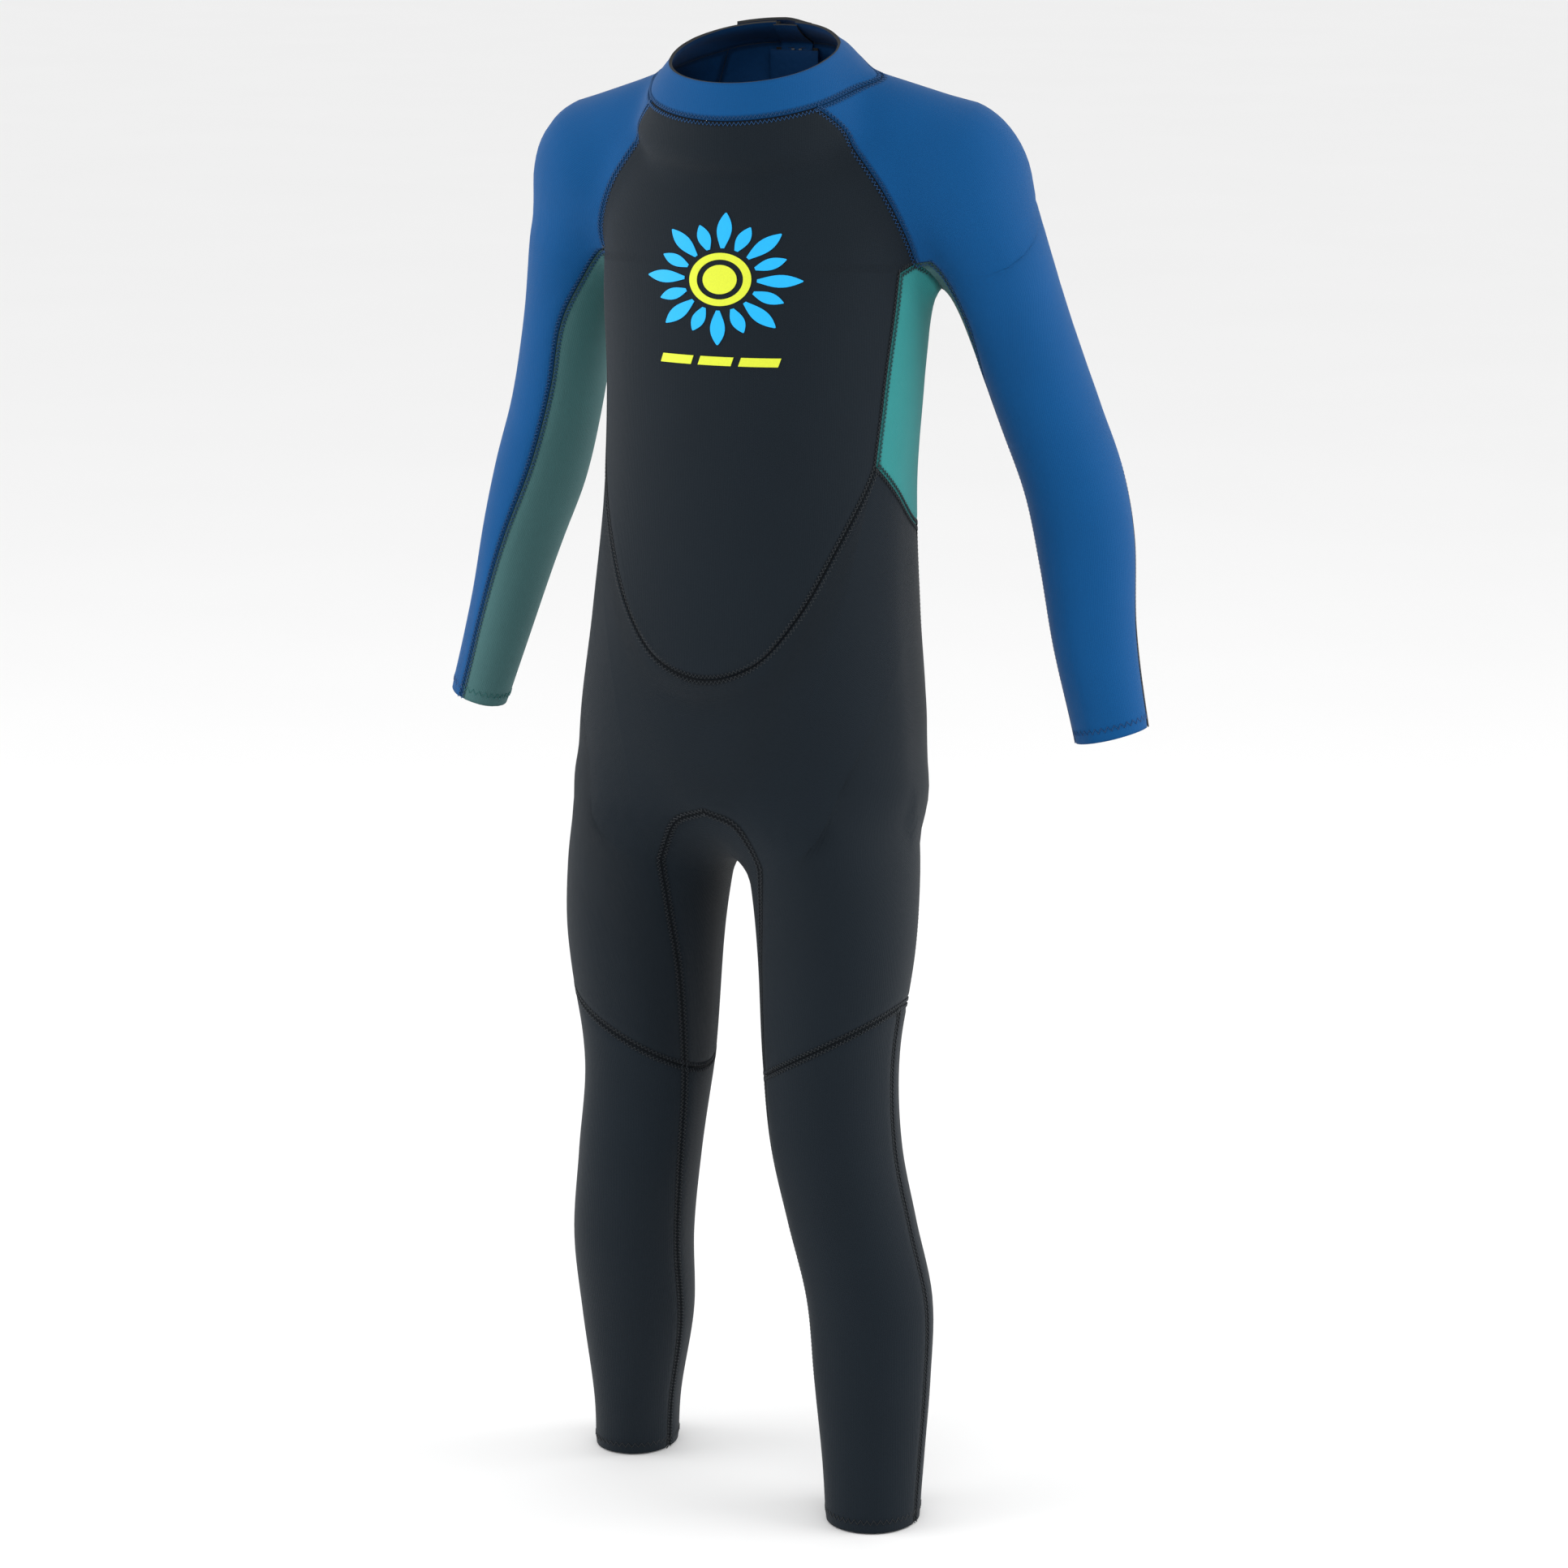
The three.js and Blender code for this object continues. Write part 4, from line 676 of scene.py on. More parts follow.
def foam():
    """The cut edge of the closed-cell foam, fine and black between its two jerseys."""
    finish = Finish("foam_edge", specular_ior_level=0.3)
    cells = finish.cells(2600.0)
    finish.feed("Base Color", finish.blend((0.008, 0.009, 0.010), (0.020, 0.022, 0.024), cells))
    finish.feed("Roughness", 0.75 + cells * 0.2)
    finish.relief(cells * 0.0001)
    return finish.material


foam_edge = foam()

collar_seam = join(right["collar_back"][::-1], right["collar_side"][::-1], throat,
                   left["collar_side"], left["collar_back"])
from_axis = collar_seam - NECK_ORIGIN
collar_angles = np.degrees(np.arctan2(from_axis[:, 0], -(from_axis @ NECK_BACK)))
collar = np.array([collar_seam if share == 0 else
                   on_neck(collar_angles * slit_angle(share) / slit_angle(0), share * COLLAR_HEIGHT)
                   for share in np.linspace(0, 1, 13)])
panel("collar", collar, blue, free="first last end")


# ---------------------------------------------------------------- chest panel
# One slate panel from the collar to the low U under the belly, between the raglan seams and the
# side seams. It carries a soft screen print in two inks.
def edged(grid, first, last, start, end):
    grid[:, 0], grid[:, -1] = first, last
    if start is not None:
        grid[0] = start
    if end is not None:
        grid[-1] = end
    return grid


def eased(grid):
    """The grid drawn again through every fourth point, where a line from inside can miss its place."""
    for _ in range(2):
        few = grid[::FINER]
        rows = np.column_stack([np.arange(len(few)), few.reshape(len(few), -1)])
        grid = along(rows, np.linspace(0, len(few) - 1, len(grid))).reshape(grid.shape).swapaxes(0, 1)
    for _ in range(3):
        grid = grid - outwards(grid) * form(grid)[..., None]
    return grid


MIDDLE_PULL = 2.6  # how strongly the middle of a row looks the way it is told


def laid_grid(first, last, columns, core_at, way_at=None, start=None, end=None, armpit=False):
    """Points on the wearer's shape between two seams, seen row by row from inside."""
    rows = len(first) - 1
    t = np.linspace(0, 1, rows + 1)
    cores = core_at(t, first, last)
    to_first, to_last = unit(first - cores), unit(last - cores)
    between = to_first + to_last
    way = between if way_at is None else way_at(t, cores, between, last - first)
    way = unit(np.broadcast_to(way, cores.shape))
    s = np.linspace(0, 1, columns + 1)[None, :, None]
    middle = way[:, None] * MIDDLE_PULL * s * (1 - s)
    direction = to_first[:, None] * (1 - s)**2 + middle + to_last[:, None] * s * s
    grid = lay(cores[:, None], cores[:, None] + direction)
    if not armpit and (start is not None or end is not None):
        moved, fade = grid.copy(), t[:, None, None]
        if start is not None:
            moved += (start[None] - grid[:1]) * (1 - fade)**2
        if end is not None:
            moved += (end[None] - grid[-1:]) * fade**2
        grid = lay(cores[:, None], moved)
    grid = edged(grid, first, last, start, end)
    if armpit:
        grid = edged(eased(grid), first, last, start, end)
    return grid


chest = laid_grid(
    join(right["raglan_front"], right["side_front"], right["belly"]),
    join(left["raglan_front"], left["side_front"], left["belly"]),
    STEPS["throat"], lambda t, a, b: trunk_core(np.minimum(a[:, 2], TRUNK_LENGTH - 52)),
    lambda t, core, between, chord: np.array([0, -1, 0]), throat, belly_foot)
panel("chest_panel", chest, slate)


def ink(name, colour):
    """Rubbery screen ink. The knit shows through it."""
    finish = Finish(name, specular_ior_level=0.4)
    worn = finish.noise(finish.place(), 1400.0)
    finish.feed("Base Color", finish.blend(*shades(colour, 0.88, 1.06), worn))
    finish.feed("Roughness", 0.5 + worn * 0.15)
    finish.relief(worn * 0.0001)
    return finish.material


FILM = (0.42, 0.05)  # the ink's outer face and its foot


def printed(name, patches, colour):
    """Thin film on the chest: each patch is a grid of places in x and z, in millimetres."""
    verts, faces = [], []
    for patch in patches:
        rows, columns = patch.shape[:2]
        x, z = patch[..., 0], patch[..., 1]
        core = point(x, along(TRUNK, z)[..., 0], z)
        skin = lay(core, core - (0, 1, 0))
        out = outwards(skin)
        place = np.arange(rows * columns).reshape(rows, columns) + len(verts)
        for height in FILM:
            verts += (skin + height * out).reshape(-1, 3).tolist()
        face = np.stack(corners_of(place), 1)
        away = np.cross(skin[1, 0] - skin[0, 0], skin[0, 1] - skin[0, 0]) @ out[0, 0]
        face = face if away > 0 else face[:, ::-1]
        ring = np.concatenate([place[0, :-1], place[:-1, -1], place[-1, :0:-1], place[:0:-1, 0]])
        there, under = np.roll(ring, -1), rows * columns
        wall = np.stack([ring, there, there + under, ring + under], 1)
        wall = wall if away > 0 else wall[:, ::-1]
        faces += face.tolist() + (face[:, ::-1] + under).tolist() + wall.tolist()
    piece = new_piece(name, verts, faces, ink(name + "_ink", colour))
    piece.data.set_sharp_from_angle(angle=radians(SHARP))
    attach(piece, "suit")


def in_print(r, a):
    """A place in the oval print, a share of the way out from its middle, angles from straight up."""
    return np.stack([3 + 42 * r * np.sin(a), 306 + 33 * r * np.cos(a)], -1)


def ring_patch(inner, outer):
    return in_print(np.linspace(inner, outer, 7)[:, None], np.radians(np.linspace(0, 360, 73))[None])


def ray(angle, inner, outer, width):
    """A tapering ray of the sunburst."""
    r = np.linspace(inner, outer, 13)[:, None]
    half = width * np.sin(np.pi * np.clip((r - inner) / (outer - inner) * 0.86 + 0.12, 0, 1))
    a = np.radians(angle) + np.radians(half) * np.linspace(-1, 1, 5)[None]
    return in_print(r, a)


def dash(x0, x1):
    x, z = np.meshgrid(np.linspace(x0, x1, 9), np.linspace(262.5, 267, 4))
    return np.stack([x + (z - 262) * 0.35, z], -1)


rays = [ray(22.5 * i, 0.47, 0.86 if i % 2 else 1.0, 7.5) for i in range(16)]
printed("chest_print_rays", rays, (0.0, 0.42, 0.87))
dashes = [dash(-30, -12), dash(-8, 10), dash(14, 34)]
printed("chest_print_sun", [ring_patch(0.30, 0.40), ring_patch(0.001, 0.22), *dashes], (0.67, 0.75, 0.03))


# ---------------------------------------------------------------- side panels
# A teal panel under each arm, sewn to the sleeve in the armpit. Its foot slants down to the back.
def side_panel(side, seams):
    sign = SIGN[side]

    def level(t):
        return mix(TRUNK_LENGTH - 110, 0.46 * TRUNK_LENGTH, t)

    def core_at(t, a, b):
        under_arm = point(sign * 80, 38, level(t) + 36)
        return mix(trunk_core(level(t)), under_arm, np.maximum(1 - 2.2 * t, 0)[:, None])

    return laid_grid(seams["side_front"], seams["side_back"], STEPS["diagonal"], core_at,
                     lambda t, core, between, chord: point(sign * 92, 39, level(t)) - core,
                     seams["armpit"], seams["diagonal"], armpit=True)


for side, seams in (("left", left), ("right", right)):
    panel("side_panel_" + side, side_panel(side, seams), teal)

# ---------------------------------------------------------------- back panels
# Two slate panels, one each side of the zip, from the collar to the waist seam.
for side, seams in (("left", left), ("right", right)):
    back = laid_grid(join(seams["raglan_back"], seams["side_back"]), seams["zip"], STEPS["waist"],
                     lambda t, a, b: trunk_core(np.minimum((a[:, 2] + b[:, 2]) / 2, TRUNK_LENGTH - 52)),
                     start=seams["collar_back"], end=seams["waist"])
    panel("back_panel_" + side, back, slate)


# ---------------------------------------------------------------- sleeves
# Each sleeve is three panels from the armhole to the cuff: blue over the shoulder and outside,
# teal inside the arm, and slate behind. The raglan cut takes the blue panel up to the collar.
def halfway(side, a, b):
    return arm_core(side, down_arm(side, (a + b) / 2))


def sleeve_outer(side, seams):
    sign, armhole = SIGN[side], STEPS["raglan_front"] / (STEPS["raglan_front"] + STEPS["sleeve"])

    def core_at(t, a, b):
        over = np.array([sign * 40, 28, TRUNK_LENGTH - 32])
        return mix(over, halfway(side, a, b), (np.minimum(t / armhole, 1)**1.3)[:, None])

    def way_at(t, core, between, chord):
        round_arm = -sign * unit(np.cross(chord, ARMS[side]["down"]))
        return mix(np.array([sign * 0.5, 0, 1]), round_arm, np.minimum(t / armhole, 1)[:, None])

    return laid_grid(join(seams["raglan_front"], seams["sleeve_front"]),
                     join(seams["raglan_back"][:STEPS["raglan_front"] + 1], seams["sleeve_rear"]),
                     STEPS["collar_side"], core_at, way_at, seams["collar_side"])


def sleeve_inner(side, seams):
    armpit = down_arm(side, seams["armpit"][STEPS["diagonal"] // 2])

    def way_at(t, core, between, chord):
        return on_arm(side, -88, mix(armpit, SLEEVE_LENGTH, t**SLEEVE_PACE)) - core

    return laid_grid(seams["sleeve_front"], seams["sleeve_inside"], STEPS["diagonal"],
                     lambda t, a, b: halfway(side, a, b), way_at, seams["armpit"], armpit=True)


def drawn_between(first, last, start, end):
    """A panel pulled between its four edges and pressed onto the wearer's shape."""
    t, s = np.linspace(0, 1, len(first))[:, None, None], np.linspace(0, 1, len(start))[None, :, None]
    corners = mix(mix(first[0], last[0], s), mix(first[-1], last[-1], s), t)
    grid = mix(first[:, None], last[:, None], s) + mix(start[None], end[None], t) - corners
    for _ in range(8):
        grid = grid - outwards(grid) * form(grid)[..., None]
    return edged(grid, first, last, start, end)


cuffs = []
for side, seams in (("left", left), ("right", right)):
    outer, inner = sleeve_outer(side, seams), sleeve_inner(side, seams)
    angles = np.linspace(CUFF_REAR_ANGLE, CUFF_INSIDE_ANGLE, STEPS["raglan_rear"] + 1)
    cuff = on_arm(side, angles, SLEEVE_LENGTH)
    rear = drawn_between(seams["sleeve_rear"], seams["sleeve_inside"],
                         seams["raglan_back"][STEPS["raglan_front"]:], cuff)
    panel("sleeve_outer_" + side, outer, blue, free="end")
    # The inner sleeve panel takes the teal that is darkened with painted shade
    panel("sleeve_inner_" + side, inner, arm_teal_painted_shade, free="end")
    panel("sleeve_rear_" + side, rear, slate, free="end")
    cuffs += [(outer, "blue"), (inner, "teal"), (rear, "dark")]

# ---------------------------------------------------------------- hip, seat and gusset
# The hip panel covers the front of both thighs under the U, the seat panel the back of them, and the
# gusset runs from knee to knee through the crotch. All three are slate, and each is one piece.
INSIDE_ARCH = STEPS["arch"] / (STEPS["arch"] + 2 * STEPS["thigh"])


def from_middle(t):
    return np.abs(1 - 2 * t)


def on_either_leg(t, z):
    return np.where((t < 0.5)[:, None], leg_core("left", z), leg_core("right", z))


def horseshoe_core(t, a, b):
    z = (a[:, 2] + b[:, 2]) / 2
    leg = on_either_leg(t, np.minimum(z, 40))
    leg[:, 2] = z
    return mix(trunk_core(z), leg, smoothstep(from_middle(t), 0.2, 0.6)[:, None])


def gusset_core(t, a, b):
    z = mix(60, (a[:, 2] + b[:, 2]) / 2, np.minimum(from_middle(t) / INSIDE_ARCH, 1))
    leg = on_either_leg(t, np.minimum(z, 10))
    leg[:, 2] = z
    return mix(point(0, 0, z), leg, np.minimum(from_middle(t) / 0.7, 1)[:, None])


def gusset_middle(t):
    reach = from_middle(t) / INSIDE_ARCH
    under = point(np.sign(1 - 2 * t) * 10 * reach**0.7, -2, -14 * reach**2)
    z = mix(-14, -120, np.clip((from_middle(t) - INSIDE_ARCH) / (1 - INSIDE_ARCH), 0, 1))
    legs = [on_leg(side, 90 + 0 * z, z) for side in ("left", "right")]
    return np.where((reach < 1)[:, None], under, np.where((t < 0.5)[:, None], *legs))


hip = laid_grid(
    join(left["gusset_front"], right["gusset_front"][::-1]),
    join(left["hip"][::-1], left["diagonal"][::-1], left["belly"], belly_foot[::-1], right["belly"][::-1],
         right["diagonal"], right["hip"]),
    STEPS["knee_front"] + STEPS["knee_outside"], horseshoe_core,
    lambda t, core, between, chord: mix(between, point(0.7 * np.sign(1 - 2 * t), -1, 0),
                                        smoothstep(from_middle(t), 0.5, 1)[:, None]),
    join(left["knee_front"], left["knee_outside"]), join(right["knee_front"], right["knee_outside"]))
seat = laid_grid(
    join(left["gusset_back"], right["gusset_back"][::-1]),
    join(left["hip"][::-1], left["waist"], zip_foot_edge, right["waist"][::-1], right["hip"]),
    STEPS["knee_back"], horseshoe_core, lambda t, core, between, chord: np.array([0, 1, 0]),
    left["knee_back"], right["knee_back"])
gusset = laid_grid(
    join(left["gusset_front"], right["gusset_front"][::-1]),
    join(left["gusset_back"], right["gusset_back"][::-1]),
    STEPS["knee_inside"], gusset_core, lambda t, core, between, chord: gusset_middle(t) - core,
    left["knee_inside"], right["knee_inside"])
panel("hip_panel", hip, slate)
panel("seat_panel", seat, slate)
panel("crotch_gusset", gusset, slate)

# ---------------------------------------------------------------- lower legs
# A shin panel and a calf panel from the knee seam to the ankle, joined inside and outside the leg.
ankles = []
for side, seams in (("left", left), ("right", right)):
    def core_at(t, a, b):
        return leg_core(side, (a[:, 2] + b[:, 2]) / 2)

    shin = laid_grid(seams["shin_inside"], seams["shin_outside"], STEPS["knee_front"], core_at,
                     lambda t, core, between, chord: np.array([0.2 * SIGN[side], -1, 0]), seams["knee_front"])
    behind = join(seams["knee_outside"], seams["knee_back"][::-1], seams["knee_inside"][::-1])
    calf = laid_grid(seams["shin_outside"], seams["shin_inside"], len(behind) - 1, core_at,
                     lambda t, core, between, chord: np.array([-0.2 * SIGN[side], 1, 0]), behind)
    panel("shin_panel_" + side, shin, slate, free="end")
    panel("calf_panel_" + side, calf, slate, free="end")
    ankles += [(shin, "dark"), (calf, "dark")]

# ---------------------------------------------------------------- seams and hems
# Flat-lock seams: two narrow rows of polyester thread lie over the butted edges. Each cuff and ankle
# is held by a row of zigzag a little above its raw edge.
THREAD = 0.3
CHAIN_STEP, CHAIN_REACH = 1.1, 0.85
HEM_STEP, HEM_REACH = 1.7, 1.3
ROW_OFFSET = 1.55  # each row lies this far from the joint
PROUD = 0.16
HEM_UP = 6


def evenly(path, step):
    length = np.concatenate([[0], np.cumsum(np.linalg.norm(np.diff(path, axis=0), axis=1))])
    at = np.linspace(0, length[-1], max(int(length[-1] / step), 4))
    line = np.stack([np.interp(at, length, path[:, k]) for k in range(3)], 1)
    return line - outwards(line) * form(line)[:, None]


def zigzag(path, step, middle, reach, height):
    """A thread that swings from side to side along a path on the suit."""
    line = evenly(path, step)
    out = outwards(line)
    side = np.cross(unit(np.gradient(line, axis=0)), out)
    swing = middle + reach * np.where(np.arange(len(line)) % 2, 1, -1)
    swung = line + side * swing[:, None]
    swung -= out * form(swung)[:, None]
    return swung + out * height, out


def tube(run, out):
    """A thread of four sides along a run of points, closed at both ends."""
    side = unit(np.cross(np.gradient(run, axis=0), out))
    ring = np.stack([run + THREAD * d for d in (side, out, -side, -out)], 1)
    count = len(run)
    place = np.arange(4 * count).reshape(count, 4)
    a, b = place[:-1], place[1:]
    walls = np.stack([a, np.roll(a, -1, 1), np.roll(b, -1, 1), b], -1).reshape(-1, 4)
    return ring.reshape(-1, 3), np.concatenate([walls, place[:1, ::-1], place[-1:]])


def spun(name, colour):
    """Spun polyester, with a soft shine and a slight twist."""
    finish = Finish(name, specular_ior_level=0.5)
    twist = finish.noise(finish.place(), 1800.0, 1.0)
    finish.feed("Base Color", finish.blend(*shades(colour, 0.8, 1.25), twist))
    finish.feed("Roughness", 0.45 + twist * 0.2)
    return finish.material


def sewing(name, runs, colour):
    verts, faces, count = [], [], 0
    for run, out in runs:
        points, quads = tube(run, out)
        verts.append(points)
        faces.append(quads + count)
        count += len(points)
    piece = new_piece(name, np.concatenate(verts), np.concatenate(faces), spun(name + "_thread", colour))
    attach(piece, "suit")


def flatlock(path):
    return [zigzag(path, CHAIN_STEP, row, CHAIN_REACH, PROUD) for row in (-ROW_OFFSET, ROW_OFFSET)]


def hem_line(grid):
    """The line across a panel that lies a little above its last row."""
    back = grid[::-1]
    length = np.concatenate([np.zeros((1, grid.shape[1])),
                             np.cumsum(np.linalg.norm(np.diff(back, axis=0), axis=2), 0)])
    return np.array([[np.interp(HEM_UP, length[:, j], back[:, j, k]) for k in range(3)]
                     for j in range(grid.shape[1])])


blue_runs, dark_runs = [], []
blue_runs += flatlock(collar_seam)
dark_runs += flatlock(u_seam)
for seams in (left, right):
    split = STEPS["raglan_front"]
    for path in (seams["raglan_front"], seams["raglan_back"][:split + 1], seams["sleeve_front"]):
        blue_runs += flatlock(path)
    for name in ("armpit", "side_front", "side_back", "diagonal", "waist", "hip", "gusset_front",
                 "gusset_back", "shin_inside", "shin_outside", "sleeve_inside", "sleeve_rear"):
        dark_runs += flatlock(seams[name])
    dark_runs += flatlock(seams["raglan_back"][split:])
    dark_runs += flatlock(join(seams["knee_outside"][::-1], seams["knee_front"][::-1], seams["knee_inside"],
                               seams["knee_back"]))
sewing("seam_threads_blue", blue_runs, (0.0020, 0.0560, 0.1750))
sewing("seam_threads_dark", dark_runs, (0.0110, 0.0160, 0.0210))
hem_runs = {"blue": [], "teal": [], "dark": []}
for grid, shade in cuffs + ankles:
    hem_runs[shade].append(zigzag(hem_line(grid), HEM_STEP, 0, HEM_REACH, PROUD))
sewing("hem_threads_blue", hem_runs["blue"], (0.0040, 0.0500, 0.1700))
sewing("hem_threads_teal", hem_runs["teal"], (0.0170, 0.1300, 0.1300))
sewing("hem_threads_dark", hem_runs["dark"], (0.0070, 0.0095, 0.0120))

# ---------------------------------------------------------------- zip
# A long moulded back zip: two woven tapes under the panels' edges, a row of plastic teeth on each,
# metal stops, a metal slider with a plastic pull tab, and a neoprene guard inside.
TAPE_FACE = -2.4
zip_turn = atan(ZIP_SLOPE)


def in_zip(x, y, z):
    """A place in the zip's own frame, in metres: across it, out of the back, and up it."""
    return np.array([x, ZIP_FACE + y * cos(zip_turn) - z * sin(zip_turn),
                     ZIP_FOOT + y * sin(zip_turn) + z * cos(zip_turn)]) / 1000


def zip_strip(name, x0, x1, faces_at, z0, z1, bead=0):
    """A long strip in the zip's frame, made from a cube that is cut along its length and shaped."""
    bpy.ops.object.select_all(action="DESELECT")
    bpy.ops.mesh.primitive_cube_add(size=1)
    piece = bpy.context.object
    piece.name = name
    bpy.ops.object.mode_set(mode="EDIT")
    for axis, cuts in ((0, 8), (2, 60)):
        for k in range(1, cuts):
            bpy.ops.mesh.select_all(action="SELECT")
            way = np.eye(3)[axis]
            bpy.ops.mesh.bisect(plane_co=way * (k / cuts - 0.5), plane_no=way)
    bpy.ops.object.mode_set(mode="OBJECT")
    low, high = faces_at
    for vertex in piece.data.vertices:
        x, y, z = (c + 0.5 for c in vertex.co)
        thick = mix(low, high, y) + (0.12 * sin(31 * z) if y > 0.5 else 0) * (0 < x < 1)
        vertex.co = in_zip(mix(x0, x1, x), thick, mix(z0, z1, z))
    bpy.ops.object.mode_set(mode="EDIT")
    bpy.ops.mesh.select_all(action="SELECT")
    bpy.ops.mesh.normals_make_consistent(inside=False)
    bpy.ops.object.mode_set(mode="OBJECT")
    bevel = piece.modifiers.new("worn edge", "BEVEL")
    bevel.width, bevel.segments, bevel.limit_method = bead or 0.00012, 2, "ANGLE"
    bpy.ops.object.modifier_apply(modifier=bevel.name)
    bpy.ops.object.shade_smooth_by_angle(angle=radians(40))
    return piece


def woven(name, colour, fine=900.0):
    """Close polyester twill, as on a zip's tape."""
    finish = Finish(name, sheen_weight=0.1, specular_ior_level=0.3)
    place = finish.place()
    weave = finish.bands(place, "DIAGONAL", fine) * 0.6 + finish.bands(place, "Z", fine * 0.6) * 0.4
    finish.feed("Base Color", finish.blend(*shades(colour, 0.6, 1.3), weave))
    finish.feed("Roughness", 0.85 - weave * 0.15)
    finish.relief(weave * 0.00012)
    return finish.material


tape_cloth = woven("zip_tape_twill", (0.008, 0.009, 0.011))
for side, sign in SIGN.items():
    edges = sorted((sign * 1.9, sign * 11.8))
    faces_at = (TAPE_FACE - 0.6, TAPE_FACE - 0.12)
    tape = zip_strip("zip_tape_cloth_" + side, *edges, faces_at, -12, ZIP_LENGTH + 7)
    tape.data.materials.append(tape_cloth)
    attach(tape, "suit")
    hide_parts("zip_tape_" + side)


def moulded(name, colour, roughness, metallic=0.0, grain=900.0):
    """Plastic from a mould or cast metal: nearly smooth, with a fine grain and rubbed patches."""
    finish = Finish(name, metallic=metallic, specular_ior_level=0.5)
    place = finish.place()
    fine, rubbed = finish.noise(place, grain, 3.0), finish.noise(place, grain / 8)
    finish.feed("Base Color", finish.blend(*shades(colour, 0.75, 1.5), rubbed))
    finish.feed("Roughness", roughness - 0.1 + rubbed * 0.2)
    finish.relief(fine * 0.00006)
    return finish.material


tooth_plastic = moulded("tooth_plastic", (0.010, 0.011, 0.012), 0.4)
stop_metal = moulded("stop_metal", (0.16, 0.16, 0.17), 0.35, 1.0)
slider_metal = moulded("slider_metal", (0.13, 0.13, 0.14), 0.32, 1.0)
pull_plastic = moulded("pull_plastic", (0.008, 0.009, 0.010), 0.45)
zip_finishes = dict(
    zip_teeth_left=tooth_plastic, zip_teeth_right=tooth_plastic, zip_top_stop_left=stop_metal,
    zip_top_stop_right=stop_metal, zip_bottom_stop=stop_metal, zip_slider=slider_metal,
    zip_pull_tab=pull_plastic)
for node, finish in zip_finishes.items():
    for slot in bpy.data.objects[node].material_slots:
        slot.material = finish

guard = zip_strip("zip_guard_foam", -13.5, 13.5, (-7.6, -5.6), -ZIP_FOOT_MARGIN, ZIP_LENGTH + 6, 0.0004)
guard.data.materials.append(lining)
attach(guard, "suit")
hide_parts("zip_guard")

# ---------------------------------------------------------------- guard top
# The guard's upper end: a narrow strip of thin neoprene inside the collar, which shuts its slit
# behind the tab. It is bonded to the collar's lining at both edges.
ALL_EDGES = "first last start end"
strip_angles = np.linspace(171, 189, 13)
strip_heights = np.linspace(-6.8, 15.4, 13)
strip = np.array([on_neck(strip_angles, height) for height in strip_heights])
strip_depth = mix(4.7, 2.35, smoothstep(strip_heights, -6.8, 1))  # from the guard to the lining
strip = strip - outwards(strip) * strip_depth[:, None, None]
panel("zip_guard_top", strip, lining, "", free=ALL_EDGES, thick=0.8, rounded=False)

# ---------------------------------------------------------------- neck tab
# A slate tab sewn to the collar left of the slit. Its free end closes over the slit with a hook patch
# on a loop patch.
TAB_START, TAB_LENGTH, TAB_HEIGHT = 164, 48, 11


def band(start, end, inset, columns, rows=7):
    half = TAB_HEIGHT / 2 - inset
    angle = np.linspace(start, end, columns + 1)
    return np.array([on_neck(angle, height) for height in np.linspace(8 - half, 8 + half, rows)])


tab_grid = band(TAB_START, TAB_START + TAB_LENGTH, 0, 48)
tab_lift = np.broadcast_to(mix(0.4, 2.6, smoothstep(np.linspace(0, 1, 49), 0, 0.4)), tab_grid.shape[:2])
panel("neck_tab", tab_grid, slate, None, "tab", free=ALL_EDGES, lift=tab_lift)


def hooked(name, colour, scale):
    """Hook or loop tape: a dense pile of short stiff threads."""
    finish = Finish(name, specular_ior_level=0.3)
    pile = finish.cells(scale)
    finish.feed("Base Color", finish.blend(*shades(colour, 2, 0.5), pile))
    finish.feed("Roughness", 0.9 - pile * 0.1)
    finish.relief(pile * -0.0006)
    return finish.material


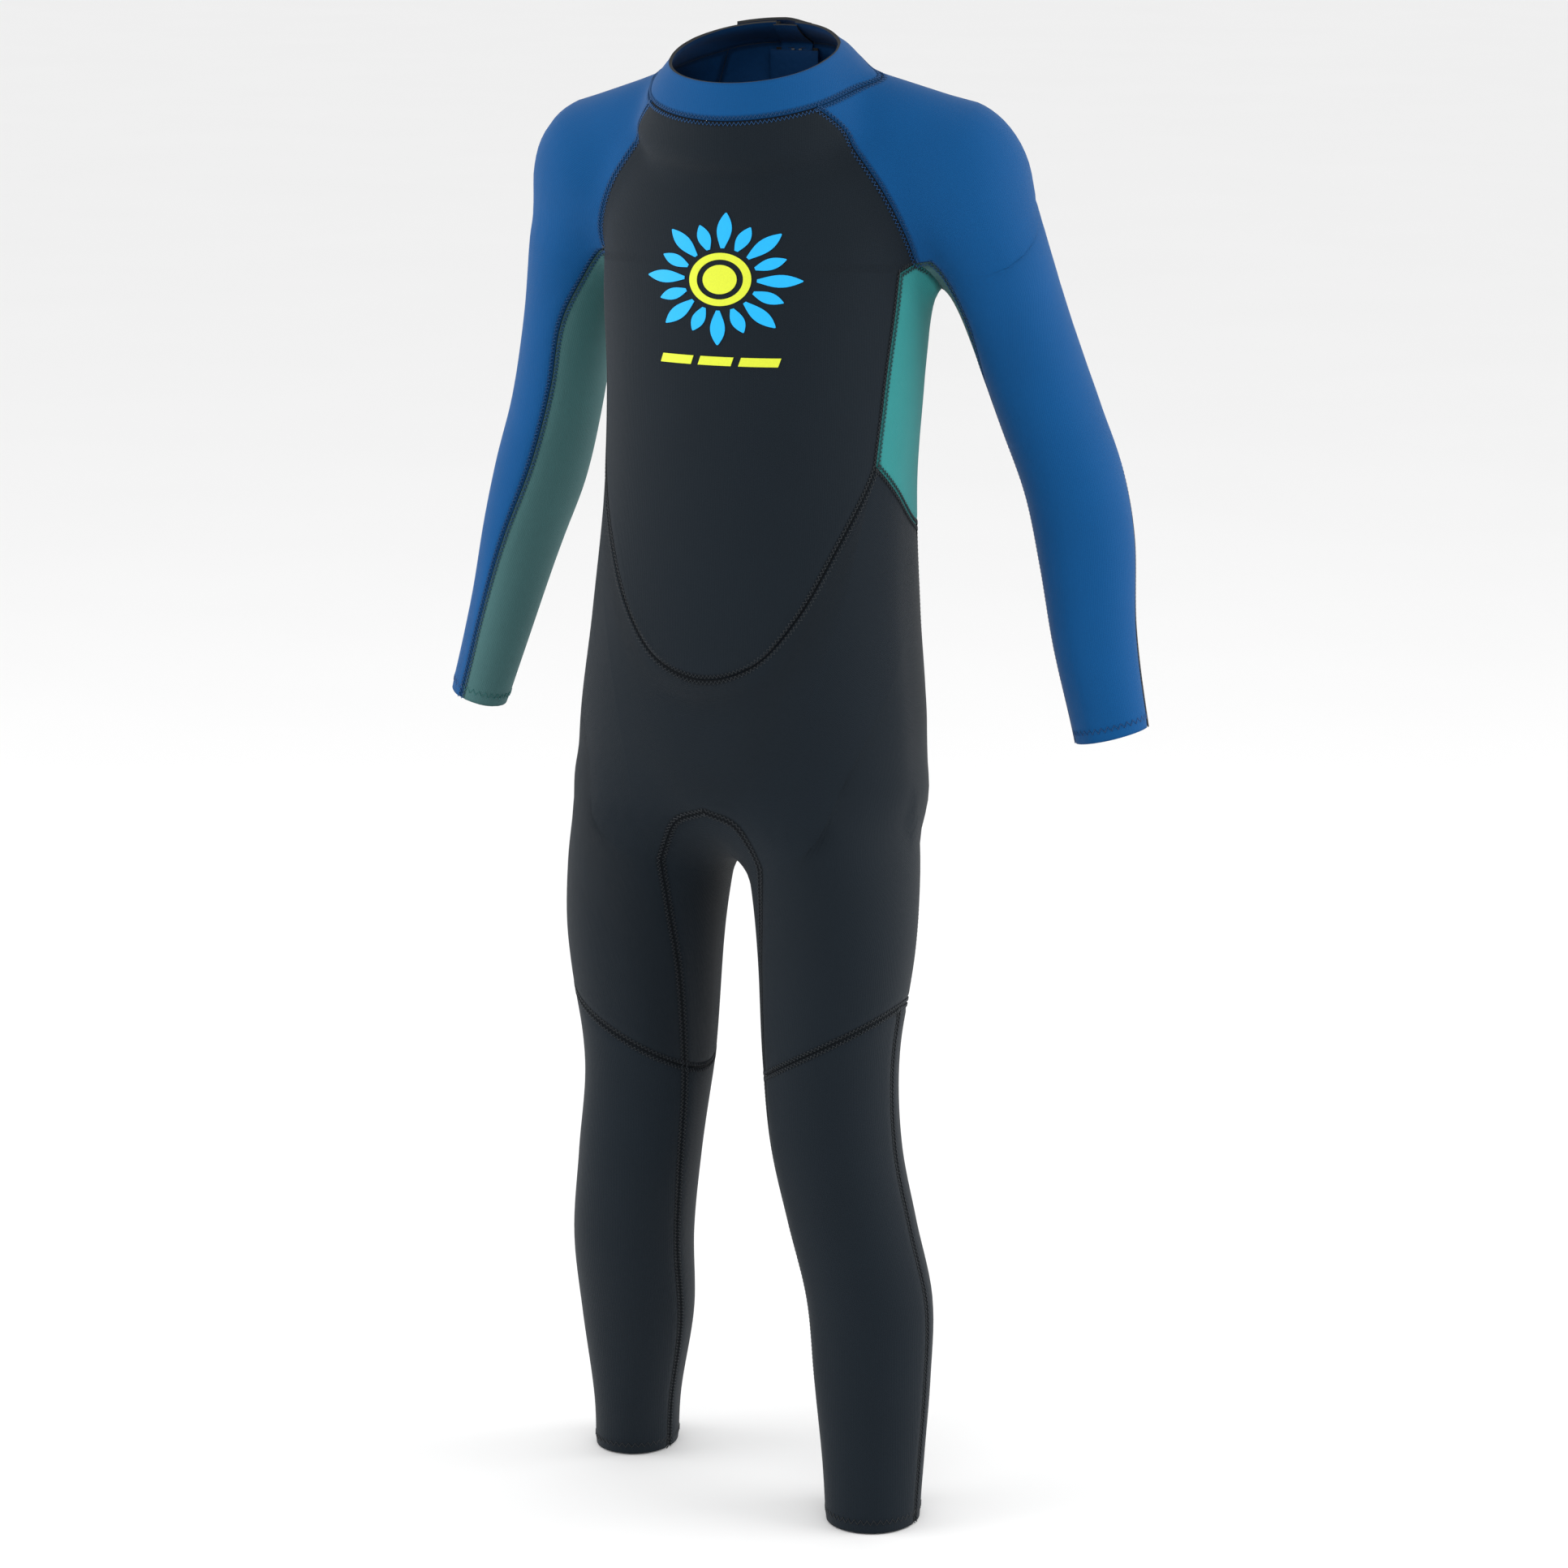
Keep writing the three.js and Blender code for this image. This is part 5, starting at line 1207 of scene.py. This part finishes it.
patch_grid = band(TAB_START + TAB_LENGTH - 26, TAB_START + TAB_LENGTH - 2, 0.9, 24)
hook_tape = hooked("hook_tape", (0.010, 0.011, 0.012), 1500.0)
loop_tape = hooked("loop_tape", (0.009, 0.010, 0.011), 900.0)
for node, body, foot, finish in (("neck_tab_hook_patch", "tab", 1.5, hook_tape),
                                 ("neck_loop_patch", "suit", 0.3, loop_tape)):
    lift = np.full(patch_grid.shape[:2], foot)
    panel(node, patch_grid, finish, None, body, free=ALL_EDGES, lift=lift, thick=0.8, rounded=False)

# ---------------------------------------------------------------- stage
# A pale floor, a pale surround, and large soft lights at both sides and in front.
bpy.ops.object.select_all(action="DESELECT")
bpy.ops.mesh.primitive_plane_add(size=90, location=(0, 0, 0))
floor = bpy.context.object
floor.name = "floor"
floor_level = cad_box[0][2] - 0.0005
for vertex in floor.data.vertices:
    vertex.co.z = floor_level
pale = Finish("pale_floor", roughness=0.9, specular_ior_level=0.1)
pale.feed("Base Color", pale.blend((0.90, 0.90, 0.90), (0.92, 0.92, 0.92), pale.noise(pale.place(), 3.0)))
floor.data.materials.append(pale.material)

world = bpy.data.worlds.new("studio")
bpy.context.scene.world = world
world.use_nodes = True
background = world.node_tree.nodes["Background"]
background.inputs["Color"].default_value = (1, 1, 1, 1)
background.inputs["Strength"].default_value = 0.95


def way_from(azimuth, elevation):
    """The way out from the suit. Azimuth 0 is in front and 90 on the wearer's left."""
    a, e = radians(azimuth), radians(elevation)
    return np.array([sin(a) * cos(e), -cos(a) * cos(e), sin(e)])


def stand(name, data, way, place):
    """A lamp or the camera, put at a place and turned to look back along the way."""
    thing = bpy.data.objects.new(name, data)
    thing.location = place
    thing.rotation_euler = Vector(way).to_track_quat("Z", "Y").to_euler()
    bpy.context.scene.collection.objects.link(thing)
    return thing


for name, azimuth, elevation, distance, size, power in [
        ("light_left", 105, 15, 2.2, 1.6, 26), ("light_right", -62, 15, 2.2, 1.6, 24),
        ("light_front", 22, 40, 3.0, 2.0, 10)]:
    lamp = bpy.data.lights.new(name, "AREA")
    lamp.size, lamp.energy = size, power
    way = way_from(azimuth, elevation)
    stand(name, lamp, way, way * distance + (0, 0, 0.05))

lens = bpy.data.cameras.new("camera")
lens.lens, lens.sensor_width = 112.99, 36
way = way_from(22, 13)
bpy.context.scene.camera = stand("camera", lens, way, np.array([0.0194, 0, 0.0342]) + way * 2.6)
bpy.context.scene.view_settings.view_transform = "Standard"
